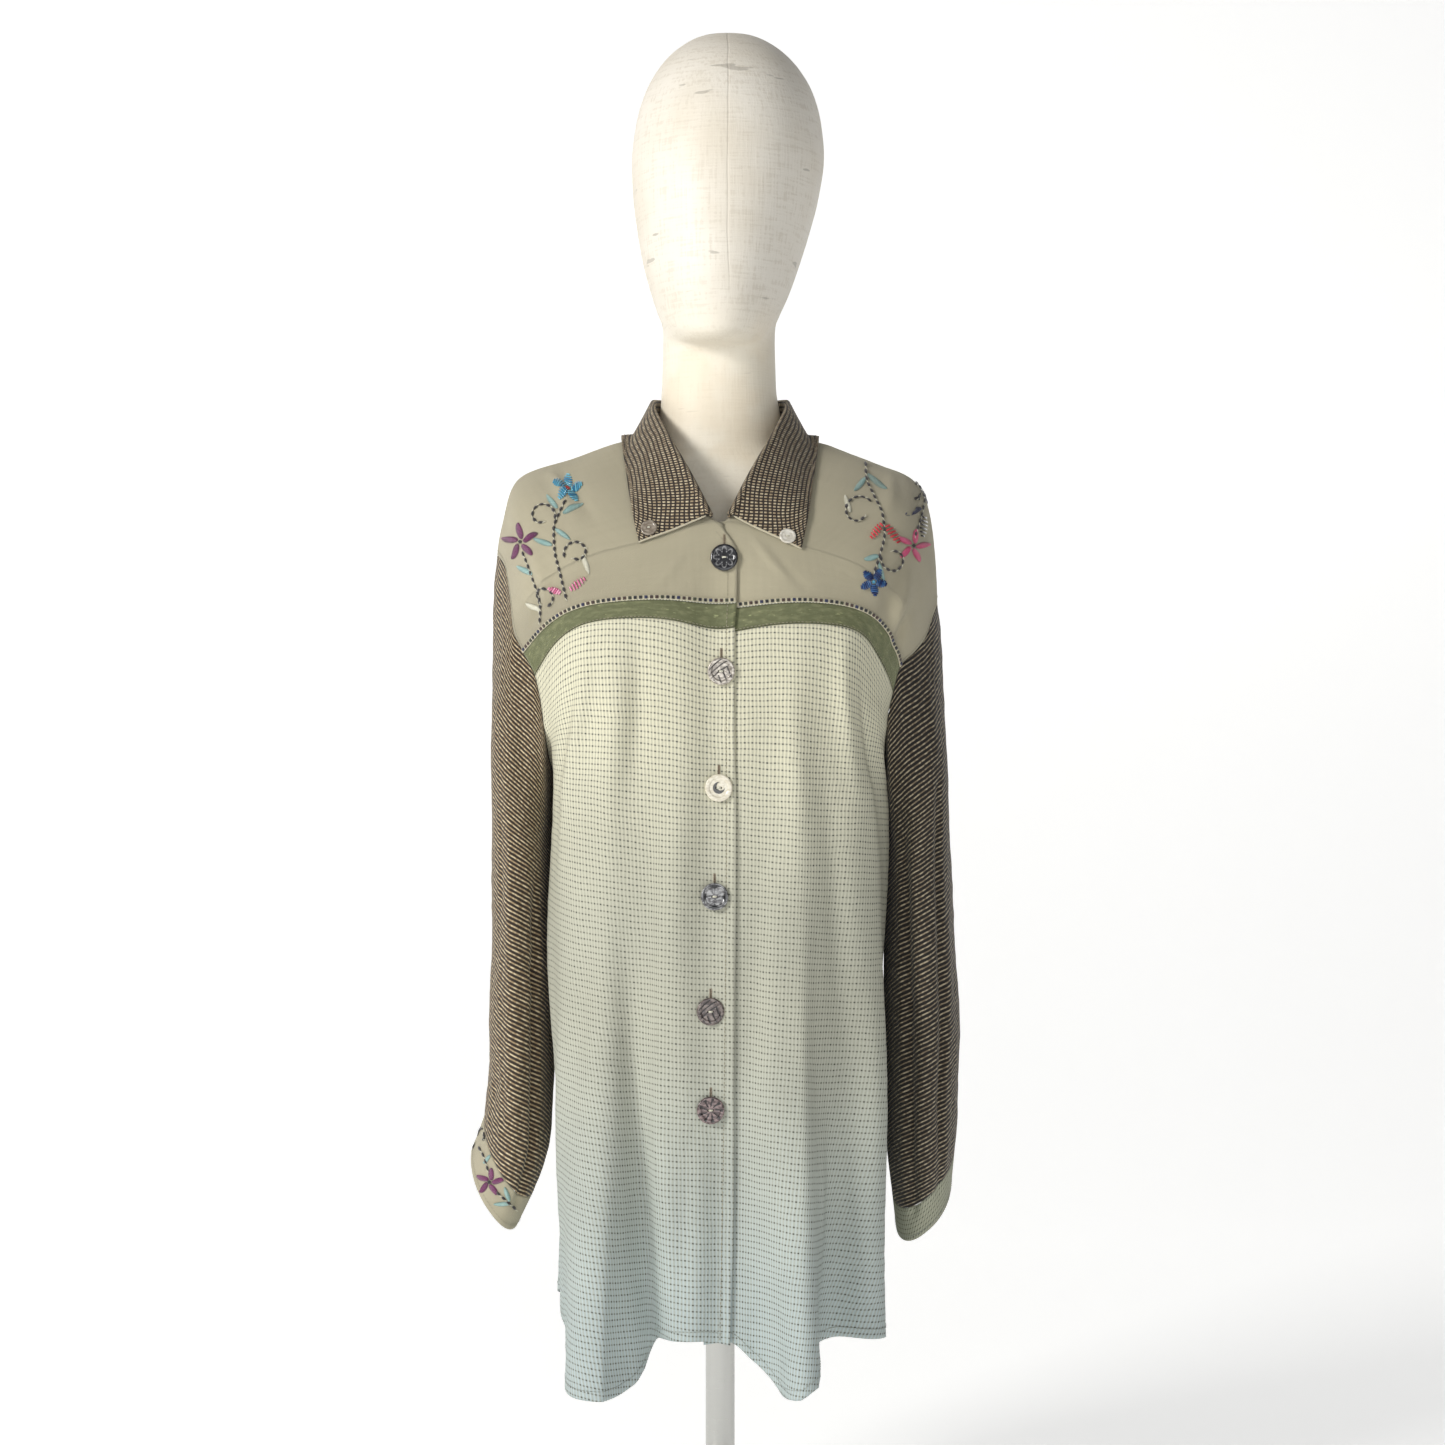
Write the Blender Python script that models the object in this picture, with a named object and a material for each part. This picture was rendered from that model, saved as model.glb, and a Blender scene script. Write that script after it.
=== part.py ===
"""A long embroidered blouse hanging on a limbless egg-head dress form.

Metres, +Z up, the front of the blouse towards -Y. The origin is on the floor under the middle of the stand.
Each piece that is cut and sewn is an object of its own: a wall of cloth worked out from sections.
"""

import math
from collections import namedtuple

import bmesh
import bpy
import numpy as np
from mathutils import Vector
from mathutils.bvhtree import BVHTree

# Driving sizes, in metres
CLOTH = 0.0013
COLLAR_CLOTH = 0.0017
SEAM = 0.0003
ARMHOLE_GAP = 0.0006
# Lengths of cloth from the shoulder seam: less than 0 on the front where a seam's side matters.
ARMPIT = 0.36
HEM = 0.85
YOKE_SEAM = -0.195
BAND_SEAM = -0.217
BACK_YOKE_SEAM = 0.20
NECK_FRONT = -0.122
VENT_TOP = 0.66
LAP_TOP = 0.125
# A level and the height above the floor of the cloth there come to this where the cloth hangs straight.
LEVEL_AND_HEIGHT = 1.010
# The widths of half a front as its centre's columns have it, and between the side seams.
CENTRE_SCALE = 0.18
HALF_WIDTH = 0.20
# The share of the half that each side slit opens by, at the hem.
VENT_SPREAD = 0.035
# The top front stands this far forward of the one under it, from its edge to where that has faded out.
LAP_STEP = 0.0021
LAP_FADE = 0.045
LAP_EVEN = 0.4
LAP_GROWS = 0.03
# Beside the side seam, the share of the half and the length above the armpit where the two panels face alike.
SIDE_NEAR = 0.03
ARMPIT_NEAR = 0.03
LEFT, RIGHT = -1, 1
MM = 0.001

# A section of half the blouse, through five points from the centre or neck to the armhole or side seam.
# level: length of cloth from the shoulder seam, less than 0 on the front. Points: (out, y, z), out from the
# centre. All in millimetres.
Section = namedtuple("Section", "level centre near middle far edge")

LEFT_FRONT = [
    Section(-850, (0, -128, 160), (50, -133, 160), (101, -120, 161), (134, -75, 163), (131, 0, 165)),
    Section(-610, (0, -129, 400), (48, -133, 400), (100, -121, 401), (137, -78, 403), (131, 0, 405)),
    Section(-460, (0, -130, 550), (47, -134, 550), (100, -123, 551), (139, -80, 553), (134, 0, 555)),
    Section(-360, (0, -130, 649), (45, -134, 649), (96, -125, 651), (136, -91, 653), (139, 0, 655)),
    Section(-320, (0, -129, 688), (42, -134, 690), (91, -127, 690), (131, -100, 688), (144, -50, 684)),
    Section(-265, (0, -128, 742), (40, -133, 746), (87, -129, 746), (125, -111, 738), (147, -80, 716)),
    Section(-217, (0, -126, 790), (40, -132, 797), (88, -127, 798), (127, -110, 786), (154, -78, 753)),
    Section(-195, (0, -124, 811), (45, -130, 814), (99, -124, 811), (137, -104, 798), (164, -72, 772)),
    Section(-135, (0, -114.5, 871), (45, -120, 858), (95, -120, 846), (142, -107, 823), (173, -66, 792)),
    Section(-100, (27, -94, 897), (70, -101, 886), (115, -103, 875), (157, -92, 853), (176, -60, 817)),
    Section(-50, (53, -53, 929), (90, -61, 922), (130, -65, 912), (168, -62, 893), (182, -42, 846)),
    Section(0, (66, 3, 957), (103, 1, 949.5), (142, 0, 936), (176.5, 2, 918.5), (192, 5, 858)),
]
LEFT_BACK = [
    Section(40, (60, 35, 958), (98, 42, 944), (136, 45, 931), (171, 43, 908), (187, 38, 852)),
    Section(80, (34, 60, 960), (78, 74, 938), (122, 80, 920), (163, 75, 887), (180, 60, 833)),
    Section(110, (0, 68, 958), (50, 85, 938), (102, 93, 915), (152, 88, 872), (175, 68, 810)),
    Section(160, (0, 88, 915), (50, 100, 905), (100, 104, 885), (145, 94, 840), (166, 74, 778)),
    Section(220, (0, 103, 855), (48, 110, 850), (95, 109, 835), (135, 96, 790), (155, 75, 735)),
    Section(280, (0, 110, 795), (46, 115, 790), (93, 111, 775), (130, 93, 735), (146, 66, 698)),
    Section(320, (0, 111, 748), (46, 116, 743), (94.5, 111, 729), (134, 86, 700), (143.5, 44, 679)),
    Section(360, (0, 112, 700), (46, 117, 696), (96, 110, 685), (136, 75, 665), (139, 0, 655)),
    Section(460, (0, 112, 590), (47, 117, 587), (99, 108, 577), (137, 70, 562), (134, 0, 555)),
    Section(610, (0, 112, 425), (47, 117, 423), (99, 107, 418), (135, 68, 410), (131, 0, 405)),
    Section(850, (0, 114, 175), (50, 118, 174), (100, 107, 172), (134, 66, 168), (131, 0, 165)),
]
# The blouse hangs a little to this side, so its shoulder seam falls 40 mm lower.
RIGHT_FRONT = [
    Section(-850, (0, -128, 160), (50, -133, 160), (101, -120, 161), (139, -75, 163), (136, 0, 165)),
    Section(-610, (0, -129, 400), (48, -133, 400), (98, -121, 401), (136, -78, 403), (132, 0, 405)),
    Section(-460, (0, -130, 550), (47, -134, 550), (96, -123, 551), (134, -80, 553), (132, 0, 555)),
    Section(-360, (0, -130, 649), (45, -134, 649), (93, -125, 651), (131, -90, 653), (135, 0, 655)),
    Section(-320, (0, -129, 688), (42, -134, 690), (88, -127, 690), (125, -100, 689), (138, -50, 686)),
    Section(-265, (0, -128, 741), (40, -133, 745), (85, -129, 745), (120, -110, 736), (139, -76, 714)),
    Section(-217, (0, -126, 787), (40, -132, 792.5), (88, -127, 793.5), (123, -108, 780), (144, -75, 739)),
    Section(-195, (0, -124, 807), (45, -130, 811), (96.5, -124, 810), (133.5, -102, 794), (150, -70, 760)),
    Section(-135, (0, -114.5, 871), (45, -120, 857), (97, -120, 842), (145, -104, 812), (163, -58, 773)),
    Section(-100, (27, -94, 897), (71, -101, 884), (117, -102, 869), (158, -88, 838), (173, -46, 785)),
    Section(-50, (53, -53, 929), (91, -61, 921), (133, -64, 907), (170, -56, 880), (180, -34, 803)),
    Section(0, (66, 3, 957), (100, 1, 950), (140, 0, 934), (176, 2, 908), (187, 5, 817)),
]
RIGHT_BACK = [
    Section(40, (60, 35, 958), (98, 42, 944), (135, 45, 928), (170, 43, 895), (183, 34, 810)),
    Section(80, (34, 60, 960), (78, 74, 938), (121, 80, 917), (162, 73, 873), (178, 54, 795)),
    Section(110, (0, 68, 958), (50, 85, 938), (102, 93, 912), (151, 85, 860), (172, 63, 778)),
    Section(160, (0, 88, 915), (50, 100, 905), (100, 104, 883), (144, 92, 832), (162, 71, 757)),
    Section(220, (0, 103, 855), (48, 110, 850), (95, 109, 834), (134, 95, 785), (150, 73, 725)),
    Section(280, (0, 110, 795), (46, 115, 790), (92, 111, 775), (126, 93, 735), (139, 66, 698)),
    Section(320, (0, 111, 748), (46, 116, 743), (93, 111, 729), (128.5, 86, 700), (137.5, 44, 680)),
    Section(360, (0, 112, 700), (46, 117, 696), (94, 110, 685), (131, 75, 665), (135, 0, 655)),
    Section(460, (0, 112, 590), (47, 117, 587), (97, 108, 577), (134, 70, 562), (132, 0, 555)),
    Section(610, (0, 112, 425), (47, 117, 423), (98, 107, 418), (134, 68, 410), (132, 0, 405)),
    Section(850, (0, 114, 175), (50, 118, 174), (102, 107, 172), (139, 66, 168), (136, 0, 165)),
]
SECTIONS = {LEFT: LEFT_FRONT + LEFT_BACK, RIGHT: RIGHT_FRONT + RIGHT_BACK}

# A fold runs down the cloth from where it starts to the hem. at_top and at_hem: its place across the half,
# 0 to 1. inner and outer: its width towards the centre and the side seam, as shares of the half.
# depth: how far out it stands, less than 0 if it is pressed in.
Fold = namedtuple("Fold", "start at_top at_hem inner outer depth")
FOLDS = {
    (LEFT, "front"): [
        Fold(0.44, 0.40, 0.262, 0.090, 0.055, -0.027),
        Fold(0.42, 0.50, 0.412, 0.100, 0.300, 0.036),
        Fold(0.30, 0.16, 0.120, 0.120, 0.100, 0.005),
        Fold(0.26, 0.78, 0.800, 0.100, 0.100, -0.011),
    ],
    (RIGHT, "front"): [
        Fold(0.40, 0.34, 0.330, 0.200, 0.060, 0.036),
        Fold(0.42, 0.48, 0.440, 0.060, 0.120, -0.014),
        Fold(0.28, 0.68, 0.640, 0.110, 0.110, 0.008),
        Fold(0.24, 0.80, 0.830, 0.090, 0.080, -0.009),
    ],
    (LEFT, "back"): [
        Fold(0.30, 0.24, 0.280, 0.140, 0.120, 0.018),
        Fold(0.32, 0.45, 0.480, 0.100, 0.100, -0.016),
        Fold(0.34, 0.64, 0.680, 0.110, 0.130, 0.020),
    ],
    (RIGHT, "back"): [
        Fold(0.34, 0.20, 0.200, 0.120, 0.120, 0.016),
        Fold(0.30, 0.42, 0.400, 0.110, 0.100, -0.017),
        Fold(0.34, 0.62, 0.600, 0.110, 0.130, 0.021),
    ],
}
# How far the cloth hangs, as a height above the floor, at places across each half of the hem.
HEM_HEIGHTS = {
    (LEFT, "front"): {"across": (0.0, 0.14, 0.30, 0.35, 0.41, 0.50, 0.64, 0.80, 0.93, 1.0),
                      "height": (0.209, 0.213, 0.211, 0.181, 0.170, 0.169, 0.175, 0.192, 0.217, 0.254)},
    (RIGHT, "front"): {"across": (0.0, 0.10, 0.20, 0.30, 0.36, 0.44, 0.55, 0.80, 0.93, 1.0),
                       "height": (0.209, 0.211, 0.195, 0.172, 0.173, 0.200, 0.209, 0.204, 0.214, 0.250)},
    (LEFT, "back"): {"across": (0.0, 0.30, 0.60, 0.85, 0.95, 1.0),
                     "height": (0.185, 0.182, 0.188, 0.215, 0.236, 0.272)},
    (RIGHT, "back"): {"across": (0.0, 0.30, 0.60, 0.85, 0.95, 1.0),
                      "height": (0.185, 0.183, 0.188, 0.212, 0.232, 0.268)},
}

# How far each front laps past the centre, by its level.
LAP_EDGE = {"level": (0.12, 0.20, 0.50, 0.85),
            LEFT: (0.0150, 0.0145, 0.0125, 0.0070),
            RIGHT: (0.0140, 0.0140, 0.0140, 0.0120)}

# A ring of the sleeve, an oval: along: 0 at the armhole, 1 at the cuff. out, y and z: its middle.
# wide and deep: half its width and depth. rise_out, rise_back: how its level climbs outwards and backwards.
Ring = namedtuple("Ring", "along out y z wide deep rise_out rise_back")
SLEEVE_RINGS = {
    LEFT: [
        Ring(0.00, 0.1680, 0.000, 0.757, 0.0265, 0.070, 3.70, 0.00),
        Ring(0.10, 0.1690, 0.001, 0.724, 0.0268, 0.074, 3.15, 0.00),
        Ring(0.25, 0.1695, 0.003, 0.662, 0.0270, 0.078, 2.00, 0.00),
        Ring(0.50, 0.1695, 0.006, 0.555, 0.0258, 0.078, 0.75, 0.05),
        Ring(0.75, 0.1710, 0.012, 0.450, 0.0270, 0.071, 0.60, 0.12),
        Ring(0.90, 0.1735, 0.018, 0.385, 0.0270, 0.062, 0.90, 0.25),
        Ring(1.00, 0.1825, 0.022, 0.343, 0.0220, 0.049, 1.35, 0.36),
    ],
    RIGHT: [
        Ring(0.00, 0.1630, 0.000, 0.736, 0.0265, 0.066, 3.00, 0.00),
        Ring(0.10, 0.1645, 0.001, 0.706, 0.0268, 0.071, 2.60, 0.00),
        Ring(0.25, 0.1670, 0.003, 0.652, 0.0275, 0.077, 1.65, 0.00),
        Ring(0.50, 0.1700, 0.006, 0.548, 0.0290, 0.078, 0.70, 0.05),
        Ring(0.75, 0.1735, 0.010, 0.440, 0.0320, 0.072, 0.55, 0.12),
        Ring(0.90, 0.1745, 0.014, 0.372, 0.0305, 0.063, 0.70, 0.25),
        Ring(1.00, 0.1760, 0.018, 0.330, 0.0270, 0.050, 0.85, 0.36),
    ],
}
# The share of the sleeve in which it passes from the armhole's line to its rings.
SLEEVE_JOIN = 0.30
OVAL_POWER = 0.85
# Folds of a sleeve. round: 0 at the top, 0.25 in front, 0.5 towards the body. start, end: where along it.
SleeveFold = namedtuple("SleeveFold", "round_top round_end start end width depth")
SLEEVE_FOLDS = {
    LEFT: [
        SleeveFold(0.34, 0.33, 0.30, 1.02, 0.035, -0.0080),
        SleeveFold(0.22, 0.24, 0.20, 0.98, 0.050, 0.0030),
        SleeveFold(0.64, 0.66, 0.30, 1.00, 0.060, -0.0060),
        SleeveFold(0.80, 0.82, 0.15, 1.00, 0.060, 0.0040),
    ],
    RIGHT: [
        SleeveFold(0.17, 0.20, 0.15, 1.00, 0.030, -0.0060),
        SleeveFold(0.33, 0.31, 0.12, 1.02, 0.040, -0.0070),
        SleeveFold(0.25, 0.26, 0.20, 0.98, 0.040, 0.0030),
        SleeveFold(0.68, 0.66, 0.30, 1.00, 0.060, -0.0060),
    ],
}
# The shares of a sleeve fold in which it grows, and in which it shrinks to half before the cuff.
FOLD_GROWS = 0.35
FOLD_SHRINKS = 0.20
CUFF_HEIGHT = 0.035
CUFF_SEAM = 0.00045
CUFF_AXIS = {LEFT: (0.38, 0.24, -0.90), RIGHT: (0.02, 0.24, -0.97)}
CUFF_TAPER = {LEFT: 0.95, RIGHT: 0.88}

# The collar, half of it from the centre back to the front corner, by the neckline's level: its fold and its
# outer edge.
CollarRow = namedtuple("CollarRow", "level fold outer")
COLLAR = [
    CollarRow(0.110, (0.0000, 0.058, 0.996), (0.0000, 0.0945, 0.944)),
    CollarRow(0.075, (0.0330, 0.049, 0.995), (0.0520, 0.0790, 0.947)),
    CollarRow(0.035, (0.0530, 0.018, 0.993), (0.0805, 0.0330, 0.952)),
    CollarRow(0.000, (0.0545, -0.012, 0.986), (0.0830, -0.0120, 0.947)),
    CollarRow(-0.050, (0.0420, -0.059, 0.957), (0.0775, -0.0720, 0.916)),
    CollarRow(-0.095, (0.0210, -0.099, 0.918), (0.0715, -0.1090, 0.884)),
    CollarRow(-0.122, (0.0050, -0.116, 0.886), (0.0660, -0.1180, 0.8600)),
]
COLLAR_ROLL = 0.0034
ROLL_TURNS = (0, 60, 120, 180)
FALL_SHARES = (0.33, 0.67, 1.0)
# How far the fall stays off the yokes, how much more over the shoulder's ridge, and how wide that is.
COLLAR_REST = 0.0014
COLLAR_RIDGE = 0.0028
RIDGE_REACH = 0.035

# The dress form from its hip to the crown of its egg head. wide: half width. front, back: its depth each way.
# lean: how far its middle lies to the side. tilt: how the ring climbs backwards, under the chin.
FormRing = namedtuple("FormRing", "z lean wide front back squareness tilt")
FORM = [
    FormRing(0.345, 0, 0.105, 0.085, 0.080, 2.3, 0),
    FormRing(0.352, 0, 0.113, 0.094, 0.088, 2.3, 0),
    FormRing(0.370, 0, 0.117, 0.098, 0.094, 2.3, 0),
    FormRing(0.430, 0, 0.120, 0.100, 0.099, 2.3, 0),
    FormRing(0.500, 0, 0.112, 0.094, 0.090, 2.2, 0),
    FormRing(0.560, 0, 0.104, 0.090, 0.080, 2.2, 0),
    FormRing(0.620, 0, 0.111, 0.099, 0.083, 2.2, 0),
    FormRing(0.690, 0, 0.121, 0.110, 0.090, 2.3, 0),
    FormRing(0.740, 0, 0.127, 0.112, 0.094, 2.3, 0),
    FormRing(0.790, 0, 0.137, 0.108, 0.092, 2.3, 0),
    FormRing(0.830, 0, 0.151, 0.098, 0.088, 2.2, 0),
    FormRing(0.865, 0, 0.163, 0.086, 0.079, 2.1, 0),
    FormRing(0.887, 0, 0.166, 0.076, 0.070, 2.0, 0),
    FormRing(0.906, 0, 0.158, 0.066, 0.062, 2.0, 0),
    FormRing(0.921, 0, 0.138, 0.057, 0.056, 2.0, 0),
    FormRing(0.933, 0, 0.106, 0.050, 0.052, 2.0, 0),
    FormRing(0.941, 0, 0.071, 0.046, 0.049, 2.0, 0),
    FormRing(0.954, 0, 0.0540, 0.043, 0.047, 2.0, 0),
    FormRing(0.975, 0, 0.0520, 0.042, 0.046, 2.0, 0),
    FormRing(1.000, -0.001, 0.0492, 0.041, 0.047, 2.0, 0),
    FormRing(1.024, -0.001, 0.0484, 0.042, 0.049, 2.0, 0.08),
    FormRing(1.043, -0.001, 0.0480, 0.050, 0.051, 2.0, 0.22),
    FormRing(1.056, -0.001, 0.0487, 0.066, 0.055, 2.0, 0.36),
    FormRing(1.066, -0.001, 0.0525, 0.079, 0.060, 2.0, 0.36),
    FormRing(1.082, 0.000, 0.0590, 0.087, 0.068, 2.0, 0.30),
    FormRing(1.105, 0.001, 0.0665, 0.092, 0.079, 2.0, 0.20),
    FormRing(1.135, 0.003, 0.0740, 0.094, 0.091, 2.0, 0.10),
    FormRing(1.165, 0.005, 0.0797, 0.094, 0.100, 2.0, 0.03),
    FormRing(1.197, 0.0067, 0.0826, 0.092, 0.105, 2.0, 0),
    FormRing(1.227, 0.0073, 0.0796, 0.087, 0.101, 2.0, 0),
    FormRing(1.252, 0.0076, 0.0727, 0.077, 0.092, 2.0, 0),
    FormRing(1.274, 0.0072, 0.0605, 0.062, 0.078, 2.0, 0),
    FormRing(1.291, 0.0068, 0.0440, 0.042, 0.060, 2.0, 0),
    FormRing(1.302, 0.0064, 0.0250, 0.020, 0.040, 2.0, 0),
    FormRing(1.3065, 0.0062, 0.0080, 0.000, 0.022, 2.0, 0),
]
FORM_AROUND = 28
# The blouse rests on the form's shoulders with this much room and is clear of the rest of it by more.
SHOULDER_REST = 0.0006
SHOULDER_CLEAR = 0.0020
# The shoulders: above this height, this far from the middle or more, and no further forward or back than this.
SHOULDER_HEIGHT = 0.88
SHOULDER_OUT = 0.07
SHOULDER_DEEP = 0.03
# The form is fitted to the blouse between these heights, and its shoulders are raised by as much as this.
FITTED_FROM, FITTED_TO = 0.76, 0.99
SHOULDER_RAISE = 0.012
# A point this far beside the yokes' nearest place isn't under them, as the neck isn't.
COVERED = 0.012
SOCKET_RADIUS = 0.030
SOCKET_HEIGHT = 0.010
POLE_RADIUS = 0.0125
HUB_RADIUS = 0.030
BASE_RADIUS = 0.155
BASE_TOP = 0.022
BASE_EDGE = 0.005

# Buttons, by their places from the middle and the floor.
Button = namedtuple("Button", "name x z finish")
FRONT_BUTTONS = [
    Button("button_1", 0.0035, 0.848, "black"),
    Button("button_2", 0.0010, 0.7555, "shell"),
    Button("button_3", -0.0010, 0.661, "shell"),
    Button("button_4", -0.0045, 0.573, "shell"),
    Button("button_5", -0.0080, 0.480, "shell"),
    Button("button_6", -0.0080, 0.400, "shell"),
]
COLLAR_BUTTONS = [
    Button("collar_button_right", -0.0580, 0.8725, "shell"),
    Button("collar_button_left", 0.0550, 0.8655, "shell"),
]
BUTTON_RADIUS = 0.0112
BUTTON_THICK = 0.0026
SMALL_RADIUS = 0.0068
SMALL_THICK = 0.0018
# A button's outline from its face to its back, as shares of its radius and its thickness.
BUTTON_PROFILE = [(0, 0.72), (0.62, 0.72), (0.74, 1), (0.9, 1), (1, 0.55), (0.97, 0.08), (0, 0)]
SEAT_PLACES = 12
MERGE = 0.00002
CREASE_ANGLE = math.radians(40)

COLOURS = {
    "khaki": ((0.46, 0.42, 0.31), 0.80, 0.0),
    "check": ((0.62, 0.64, 0.53), 0.85, 0.0),
    "tweed": ((0.13, 0.10, 0.075), 0.90, 0.0),
    "velvet": ((0.20, 0.22, 0.11), 0.55, 0.0),
    "linen": ((0.72, 0.66, 0.55), 0.75, 0.0),
    "steel": ((0.55, 0.55, 0.54), 0.30, 1.0),
    "black": ((0.015, 0.015, 0.018), 0.30, 0.0),
    "shell": ((0.60, 0.56, 0.54), 0.25, 0.0),
}


# Scene
def clear_scene():
    for obj in list(bpy.data.objects):
        bpy.data.objects.remove(obj)


def new_collection(name):
    collection = bpy.data.collections.new(name)
    bpy.context.scene.collection.children.link(collection)
    return collection


def material(name):
    found = bpy.data.materials.get(name)
    if found:
        return found
    colour, roughness, metallic = COLOURS[name]
    made = bpy.data.materials.new(name)
    made.use_nodes = True
    shader = made.node_tree.nodes["Principled BSDF"]
    shader.inputs["Base Color"].default_value = (*colour, 1.0)
    shader.inputs["Roughness"].default_value = roughness
    shader.inputs["Metallic"].default_value = metallic
    return made


def add_object(name, mesh, finish):
    """The mesh as a part of its own, smooth but for the corners that are meant."""
    mesh.shade_smooth()
    mesh.set_sharp_from_angle(angle=CREASE_ANGLE)
    mesh.materials.append(material(finish))
    obj = bpy.data.objects.new(name, mesh)
    PARTS.objects.link(obj)
    return obj


# Curves
def smooth(knots, values, at):
    """Values at the places asked for, on a cubic curve through the knots that never swings past them."""
    knots, values, at = (np.asarray(a, float) for a in (knots, values, at))
    shape = (-1,) + (1,) * (values.ndim - 1)
    steps = np.diff(knots).reshape(shape)
    slopes = np.diff(values, axis=0) / steps
    first, second = slopes[:-1], slopes[1:]
    near, far = 2 * steps[1:] + steps[:-1], steps[1:] + 2 * steps[:-1]
    same = first * second > 0
    first, second = np.where(same, first, 1), np.where(same, second, 1)
    inner = np.where(same, (near + far) / np.where(same, near / first + far / second, 1), 0)
    tangents = np.concatenate([slopes[:1], inner, slopes[-1:]])
    at = np.clip(at, knots[0], knots[-1])
    i = np.clip(np.searchsorted(knots, at, side="right") - 1, 0, len(knots) - 2)
    h = np.diff(knots)[i]
    t = (at - knots[i]) / h
    wide = at.shape + (1,) * (values.ndim - 1)
    t, h = t.reshape(wide), h.reshape(wide)
    return ((2 * t**3 - 3 * t**2 + 1) * values[i] + (t**3 - 2 * t**2 + t) * h * tangents[i]
            + (3 * t**2 - 2 * t**3) * values[i + 1] + (t**3 - t**2) * h * tangents[i + 1])


def ease(t):
    t = np.clip(t, 0.0, 1.0)
    return t * t * (3 - 2 * t)


def bump(distance, inner, outer):
    """1 at a fold's crest and 0 at its two edges, which may lie at unlike distances."""
    t = np.where(distance < 0, -distance / inner, distance / outer)
    return 0.5 + 0.5 * np.cos(math.pi * np.clip(t, 0, 1))


def unit(vectors):
    return vectors / np.maximum(np.linalg.norm(vectors, axis=-1, keepdims=True), 1e-12)


# The blouse's body
def through_five(points, across):
    """A smooth curve across through the five points of a section, with equal shares of it between them.

    Its depth and height run level into the centre, so that the two halves meet there without a ridge.
    """
    step = 0.25
    bends = np.zeros_like(points)
    for axis, start in enumerate(([1, 0, 0, 0], [2, 1, 0, 0], [2, 1, 0, 0])):
        system = np.array([start, [1, 4, 1, 0], [0, 1, 4, 1], [0, 0, 1, 4]], float)
        values = points[:, :, axis]
        turn = values[:, :-2] - 2 * values[:, 1:-1] + values[:, 2:]
        level = (values[:, 1:2] - values[:, :1]) * (axis > 0)
        bends[:, :4, axis] = np.concatenate([level, turn], axis=1) @ np.linalg.inv(system).T * 6 / step**2
    i = np.clip((across / step).astype(int), 0, 3)
    n = np.arange(len(points))
    b = (across / step - i)[:, None]
    a = 1 - b
    return (a * points[n, i] + b * points[n, i + 1]
            + ((a**3 - a) * bends[n, i] + (b**3 - b) * bends[n, i + 1]) * step**2 / 6)


def fold_depth(side, across, level):
    """How far the folds move the cloth out, where it hangs below the chest."""
    moved = np.zeros_like(across)
    for part, sign in (("front", -1), ("back", 1)):
        here = sign * level > 0
        for fold in FOLDS[side, part]:
            share = np.clip((np.abs(level) - fold.start) / (HEM - fold.start), 0, 1)
            place = fold.at_top + (fold.at_hem - fold.at_top) * share
            grown = share**1.3
            wide = 1.5 - 0.5 * share
            moved += here * fold.depth * grown * bump(across - place, fold.inner * wide, fold.outer * wide)
    return moved


def body_points(side, across, level):
    """Points of half the blouse's outer surface. Across is less than 0 where it laps past the centre."""
    rows = SECTIONS[side]
    table = MM * np.array([[row.centre, row.near, row.middle, row.far, row.edge] for row in rows])
    levels = [MM * row.level for row in rows]
    shape = across.shape
    signed, level = across.ravel(), level.ravel()
    across = np.abs(signed)
    sections = smooth(levels, table.reshape(len(rows), 15), level).reshape(-1, 5, 3)
    points = through_five(sections, across)
    nudge = 1e-3
    ahead, behind = np.clip(across + nudge, 0, 1), np.clip(across - nudge, 0, 1)
    tangent = through_five(sections, ahead) - through_five(sections, behind)
    turn = np.where(level < 0, 1.0, -1.0)
    outward = unit(np.stack([turn * tangent[:, 1], -turn * tangent[:, 0], np.zeros(len(tangent))], axis=1))
    points += outward * fold_depth(side, across, level)[:, None]
    points[:, 0] *= np.where(signed < 0, -1, 1)
    if side == LEFT:
        lap = ease((LAP_FADE - points[:, 0]) / (LAP_FADE * (1 - LAP_EVEN)))
        lap *= ease((-level - LAP_TOP + LAP_GROWS) / LAP_GROWS)
        points[:, 1] -= LAP_STEP * lap
    points[:, 0] *= side
    return points.reshape(*shape, 3)


def one_sided_normals(side, across, level):
    step = 1e-3
    a = body_points(side, np.minimum(across + step, 1), level) - body_points(side, across - step, level)
    b = body_points(side, across, level + step) - body_points(side, across, level - step)
    return unit(np.cross(a, b)) * side


def body_normals(side, across, level):
    """Outward normals of half the blouse. At the side seam the front and the back share theirs."""
    own = one_sided_normals(side, across, level)
    beside = ease((across - 1 + SIDE_NEAR) / (SIDE_NEAR - SEAM / HALF_WIDTH))
    below = ease((np.abs(level) - ARMPIT + ARMPIT_NEAR) / ARMPIT_NEAR)
    return unit(own + (beside * below)[..., None] * one_sided_normals(side, across, -level))


def lap_start(side, level):
    """Where a front starts across: at the centre, or past it where the two fronts lap."""
    edge = smooth(LAP_EDGE["level"], LAP_EDGE[side], -np.asarray(level))
    return -edge / CENTRE_SCALE * ease((-level - LAP_TOP) / LAP_GROWS)


def hem_level(side, part, across):
    """The level of the cloth at which its hem is at the height that the table gives."""
    heights = HEM_HEIGHTS[side, part]
    height = smooth(heights["across"], heights["height"], across)
    sign = -1 if part == "front" else 1
    return sign * (LEVEL_AND_HEIGHT - height)


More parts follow.
